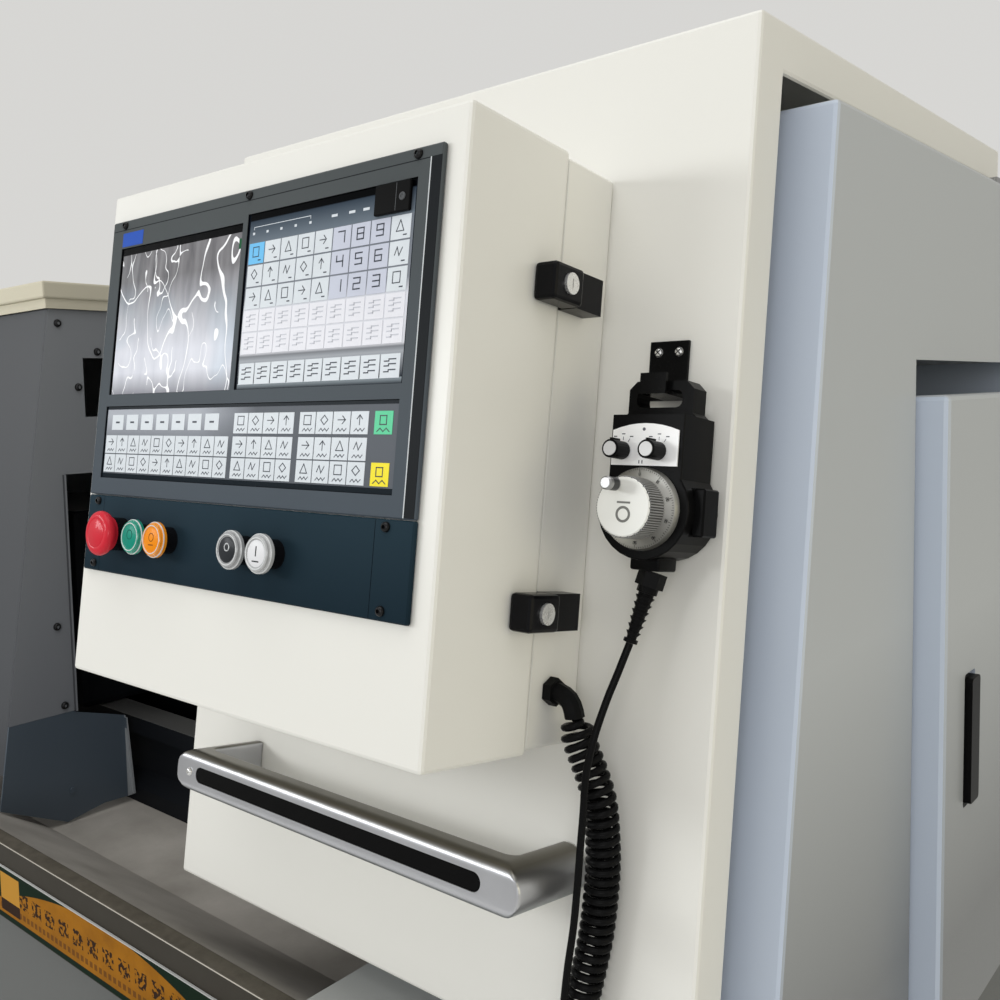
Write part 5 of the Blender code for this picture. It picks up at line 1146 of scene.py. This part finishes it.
# Face plate and selectors. The plate is silver with plain tick marks over each knob, and the
# knobs are black with brushed discs on their ends.
def brushed(tone, rough):
    def recipe(place):
        grain = place.stretched(40.0, 700.0, 700.0).noise(1.0, 2.0)
        return {"Base Color": grain.mix((tone * 0.92,) * 3 + (1.0,), (tone,) * 3 + (1.0,)),
                "Metallic": 0.15, "Roughness": rough + grain * 0.12}
    return recipe


plate_silver = surface("silver_plate", brushed(0.98, 0.34))
dress(plate_silver, "pendant_face")
dress(black_plastic, "axis_selector", "rate_selector")
PLATE_FACE = 0.0515
KNOB_END = 0.0693
KNOBS_X = {"axis_knob": 0.4920, "rate_knob": 0.5209}
KNOBS_V = -0.1975
ticks = bmesh.new()
for x in KNOBS_X.values():
    for turn in (58, 90, 122):
        way = (math.cos(math.radians(turn)), math.sin(math.radians(turn)))
        bar(ticks, (x + way[0] * 0.0078, KNOBS_V + way[1] * 0.0078),
            (x + way[0] * 0.0100, KNOBS_V + way[1] * 0.0100), PLATE_FACE, 0.0004)
        bar(ticks, (x + way[0] * 0.0126 - 0.0010, KNOBS_V + way[1] * 0.0122),
            (x + way[0] * 0.0126 + 0.0010, KNOBS_V + way[1] * 0.0122), PLATE_FACE, 0.0007)
for x in (0.5060, 0.5085):
    bar(ticks, (x, -0.2062), (x, -0.2045), PLATE_FACE, 0.0007)
on_box("plate_ticks", ticks, dark_print, "hood")
turned_piece("plate_dot", [(0, 0.0002), (0.0012, 0.0002), (0.0012, 0), (0, 0)], [(0.5085, -0.1818)],
             PLATE_FACE, film("grey_print", (104, 106, 112), 0.4, 0.1), "hood", 16)
end_metal = surface("brushed_end_metal", brushed(0.62, 0.30))
END_DISC = [(0, KNOB_END + 0.0001), (0.0050, KNOB_END + 0.0003), (0.0053, KNOB_END - 0.0002),
            (0, KNOB_END - 0.0002)]
for body, x in KNOBS_X.items():
    turned_piece(body + "_end", END_DISC, [(x, KNOBS_V)], 0, end_metal, body, 36)


# Dial. A satin aluminium ring with a hundred ticks and plain numbers turns with a knurled
# disc, whose face carries a small ring over a bar, and a crank knob stands on the disc.
DIAL_CENTRE = (0.510, -0.239)
RING_FACE = 0.0563
DISC_FACE = 0.0763


def dial_metal(place):
    x, v, w = on_front(place)
    away_x = x - DIAL_CENTRE[0]
    away_v = v - DIAL_CENTRE[1]
    radius = (away_x * away_x + away_v * away_v) ** 0.5
    angle = away_v.maths("ARCTAN2", away_x)
    # Painted reflection: the ring's tone swings lighter and darker twice round the dial.
    spin = (angle * 2.0 + 0.6).maths("SINE")
    face = w > DISC_FACE - 0.0009
    side = (w > RING_FACE + 0.0005) * (1.0 - face)
    ring = spin.between(-1.0, 1.0).mix(shade(126, 125, 120), shade(206, 205, 200))
    colour = side.mix(ring, shade(84, 84, 80))
    colour = face.mix(colour, shade(228, 228, 223))
    grain = (radius * 9000.0).maths("SINE")
    return {"Base Color": colour, "Metallic": 0.75 - face * 0.55,
            "Roughness": 0.34 + face * 0.10 + side * 0.10, "Normal": grain.bump(0.06, 0.00002)}


dress(surface("dial_metal", dial_metal), "pendant_dial")


def polar(radius, turn):
    """A point of the dial, turned from its top, as an x and a v."""
    return (DIAL_CENTRE[0] + radius * math.sin(turn), DIAL_CENTRE[1] + radius * math.cos(turn))


dial_print = bmesh.new()
for tick in range(100):
    turn = math.tau * tick / 100
    deep = 0.0262 if tick % 10 == 0 else 0.0270 if tick % 5 == 0 else 0.0276
    bar(dial_print, polar(deep, turn), polar(0.0286, turn), RING_FACE, 0.00030)
for ten in range(10):
    turn = math.tau * ten / 10
    digits = [ten, 0] if ten else [0]
    for place, value in enumerate(digits):
        flat = bmesh.new()
        left = (place - len(digits) / 2) * 0.0014
        number(flat, value, (left + 0.0002, left + 0.0012), (0.0236, 0.0254), RING_FACE, 0.00028)
        flat.transform(Matrix.Rotation(turn, 4, "Y"))
        flat.transform(Matrix.Translation((DIAL_CENTRE[0], 0, DIAL_CENTRE[1])))
        add_shape(dial_print, flat)
on_box("dial_print", dial_print, film("dial_black_print", (52, 52, 52), 0.4, 0.1), "dial")
RIBS = 72
KNURL_RADIUS = 0.0214
ribs = bmesh.new()
for index in range(RIBS):
    turn = math.tau * index / RIBS
    middle = polar(KNURL_RADIUS, turn)
    turned = Matrix.Rotation(turn, 4, "Y")
    size = Matrix.Diagonal((0.0009, 0.0185, 0.0011, 1))
    place = Matrix.Translation((middle[0], -(RING_FACE + DISC_FACE - 0.0012) / 2, middle[1]))
    bmesh.ops.create_cube(ribs, size=1, matrix=place @ turned @ size)
on_box("dial_knurl", ribs, surface("knurled_metal", brushed(0.30, 0.30)), "dial")
mark = bmesh.new()
add_spun(mark, [(0.0040, 0.00015), (0.0058, 0.00015), (0.0058, 0), (0.0040, 0), (0.0040, 0.00015)],
         out_of_front(DIAL_CENTRE[0] + 0.0008, DIAL_CENTRE[1] - 0.0052, DISC_FACE), 32)
slab(mark, (DIAL_CENTRE[0] - 0.0045, DIAL_CENTRE[0] + 0.0060),
     (DIAL_CENTRE[1] + 0.0024, DIAL_CENTRE[1] + 0.0038), (DISC_FACE, DISC_FACE + 0.00015))
on_box("disc_mark", mark, film("disc_grey_print", (120, 120, 116), 0.4, 0.1), "dial")


def crank_metal(place):
    black = on_front(place)[2].within(0.0830, 0.0905)
    wear = place.noise(300.0, 2.0)
    return {"Base Color": black.mix((0.38, 0.38, 0.38, 1), (0.006, 0.006, 0.007, 1)),
            "Metallic": 0.9 - black * 0.9, "Roughness": 0.26 + wear * 0.10}


dress(surface("crank_metal", crank_metal), "crank_knob")


# Strain relief and gland. Moulded black rubber with ribs, on a hexagonal plastic nut, and a
# plain elbow gland where the cord enters the control box.
rubber = surface("black_rubber", moulded(0.006, 0.42, 900.0, 0.00004))
dress(rubber, "pendant_strain_relief", "box_gland")


# Pendant cord. One black cord runs straight down from the strain relief, turns up at the
# bottom and winds as a tight coil up to the gland on the control box.
CORD_POINTS = ((0.4984, -0.3370, 0.0331), (0.4927, -0.3609, 0.0380), (0.4882, -0.3810, 0.0430),
               (0.4834, -0.4075, 0.0480), (0.4801, -0.4348, 0.0500), (0.4794, -0.4640, 0.0490),
               (0.4772, -0.4904, 0.0460), (0.4752, -0.5206, 0.0430), (0.4724, -0.5512, 0.0400),
               (0.4687, -0.5824, 0.0380), (0.4668, -0.6180, 0.0370), (0.4665, -0.6500, 0.0365),
               (0.4664, -0.6680, 0.0335), (0.4664, -0.6760, 0.0260), (0.4664, -0.6700, 0.0190),
               (0.4664, -0.6594, 0.0168))
COIL_POINTS = ((0.4593, -0.3988, 0.0379), (0.4628, -0.4147, 0.0350), (0.4729, -0.4391, 0.0300),
               (0.4791, -0.4604, 0.0260), (0.4814, -0.4939, 0.0210), (0.4809, -0.5205, 0.0185),
               (0.4785, -0.5548, 0.0170), (0.4746, -0.5821, 0.0168), (0.4699, -0.6097, 0.0168),
               (0.4680, -0.6326, 0.0168), (0.4664, -0.6586, 0.0168))
CORD_THICK = 0.0058
TURN_RADIUS = 0.0106
TURN_PITCH = 0.0073
TURN_STEPS = 16


def smooth_route(points, step):
    """Evenly spaced places along a smooth curve through the points."""
    points = [Vector(point) for point in points]
    padded = [points[0] * 2 - points[1]] + points + [points[-1] * 2 - points[-2]]
    fine = []
    for before, first, second, after in zip(padded, padded[1:], padded[2:], padded[3:]):
        for i in range(24):
            t = i / 24
            bend = (before * -1 + first * 3 - second * 3 + after) * t ** 3
            bend += (before * 2 - first * 5 + second * 4 - after) * t ** 2
            fine.append((bend + (second - before) * t + first * 2) / 2)
    fine.append(points[-1])
    lengths = [(end - start).length for start, end in zip(fine, fine[1:])]
    count = round(sum(lengths) / step)
    wanted = [sum(lengths) * i / count for i in range(count)]
    found = []
    walked = 0.0
    for start, end, length in zip(fine, fine[1:], lengths):
        while wanted and wanted[0] <= walked + length:
            found.append(start.lerp(end, (wanted.pop(0) - walked) / length))
        walked += length
    return found + [points[-1]]


def front_places(points):
    """Points given as x, v and w on the slanted front, in the machine's own frame."""
    return [FRONT @ Vector((x, -w, v)) for x, v, w in points]


cord_line = smooth_route(front_places(CORD_POINTS), 0.004)
axis_line = smooth_route(list(reversed(front_places(COIL_POINTS))), TURN_PITCH / TURN_STEPS)
side = Vector((1, 0, 0))
turns = (len(axis_line) - 1) / TURN_STEPS
for index, centre in enumerate(axis_line):
    after = axis_line[min(index + 1, len(axis_line) - 1)]
    before = axis_line[max(index - 1, 0)]
    along = (after - before).normalized()
    side = (side - along * side.dot(along)).normalized()
    turned = index / TURN_STEPS
    widen = min(1.0, turned, turns - turned)
    angle = math.tau * turned
    out = side * math.cos(angle) + along.cross(side) * math.sin(angle)
    cord_line.append(centre + out * TURN_RADIUS * widen)
cord_curve = bpy.data.curves.new("pendant_cord_line", "CURVE")
cord_curve.dimensions = "3D"
cord_curve.bevel_depth = CORD_THICK / 2
cord_curve.bevel_resolution = 2
cord_curve.use_fill_caps = True
spline = cord_curve.splines.new("POLY")
spline.points.add(len(cord_line) - 1)
for point, place in zip(spline.points, cord_line):
    point.co = (*place, 1.0)
cord_length = sum((end - start).length for start, end in zip(cord_line, cord_line[1:]))
curly_cord = placed("curly_cord", cord_curve)
cord_curve.materials.append(surface("cord_sheath", moulded(0.006, 0.26, 700.0, 0.00003)))
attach(curly_cord, "hood")
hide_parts("pendant_cord", "pendant_coil")


# Carriage, cross slide and tool post. Iron castings with ground tops, and a hardened
# four-way post that is clamped by a nut.
dress(surface("slide_iron", ground_iron(0.965)), "carriage")
dress(surface("cross_slide_iron", ground_iron(1.010)), "cross_slide")
dress(surface("post_steel", turned_steel(0.26, 0.36)), "tool_post")


# Tailstock. A painted iron casting that slides on the bed, with a ground quill in it and a
# bright handwheel at its right end.
dress(surface("tailstock_iron", ground_iron(1.152)), "tailstock")
dress(surface("quill_steel", turned_steel(0.52, 0.22)), "tailstock_quill", "tailstock_wheel")
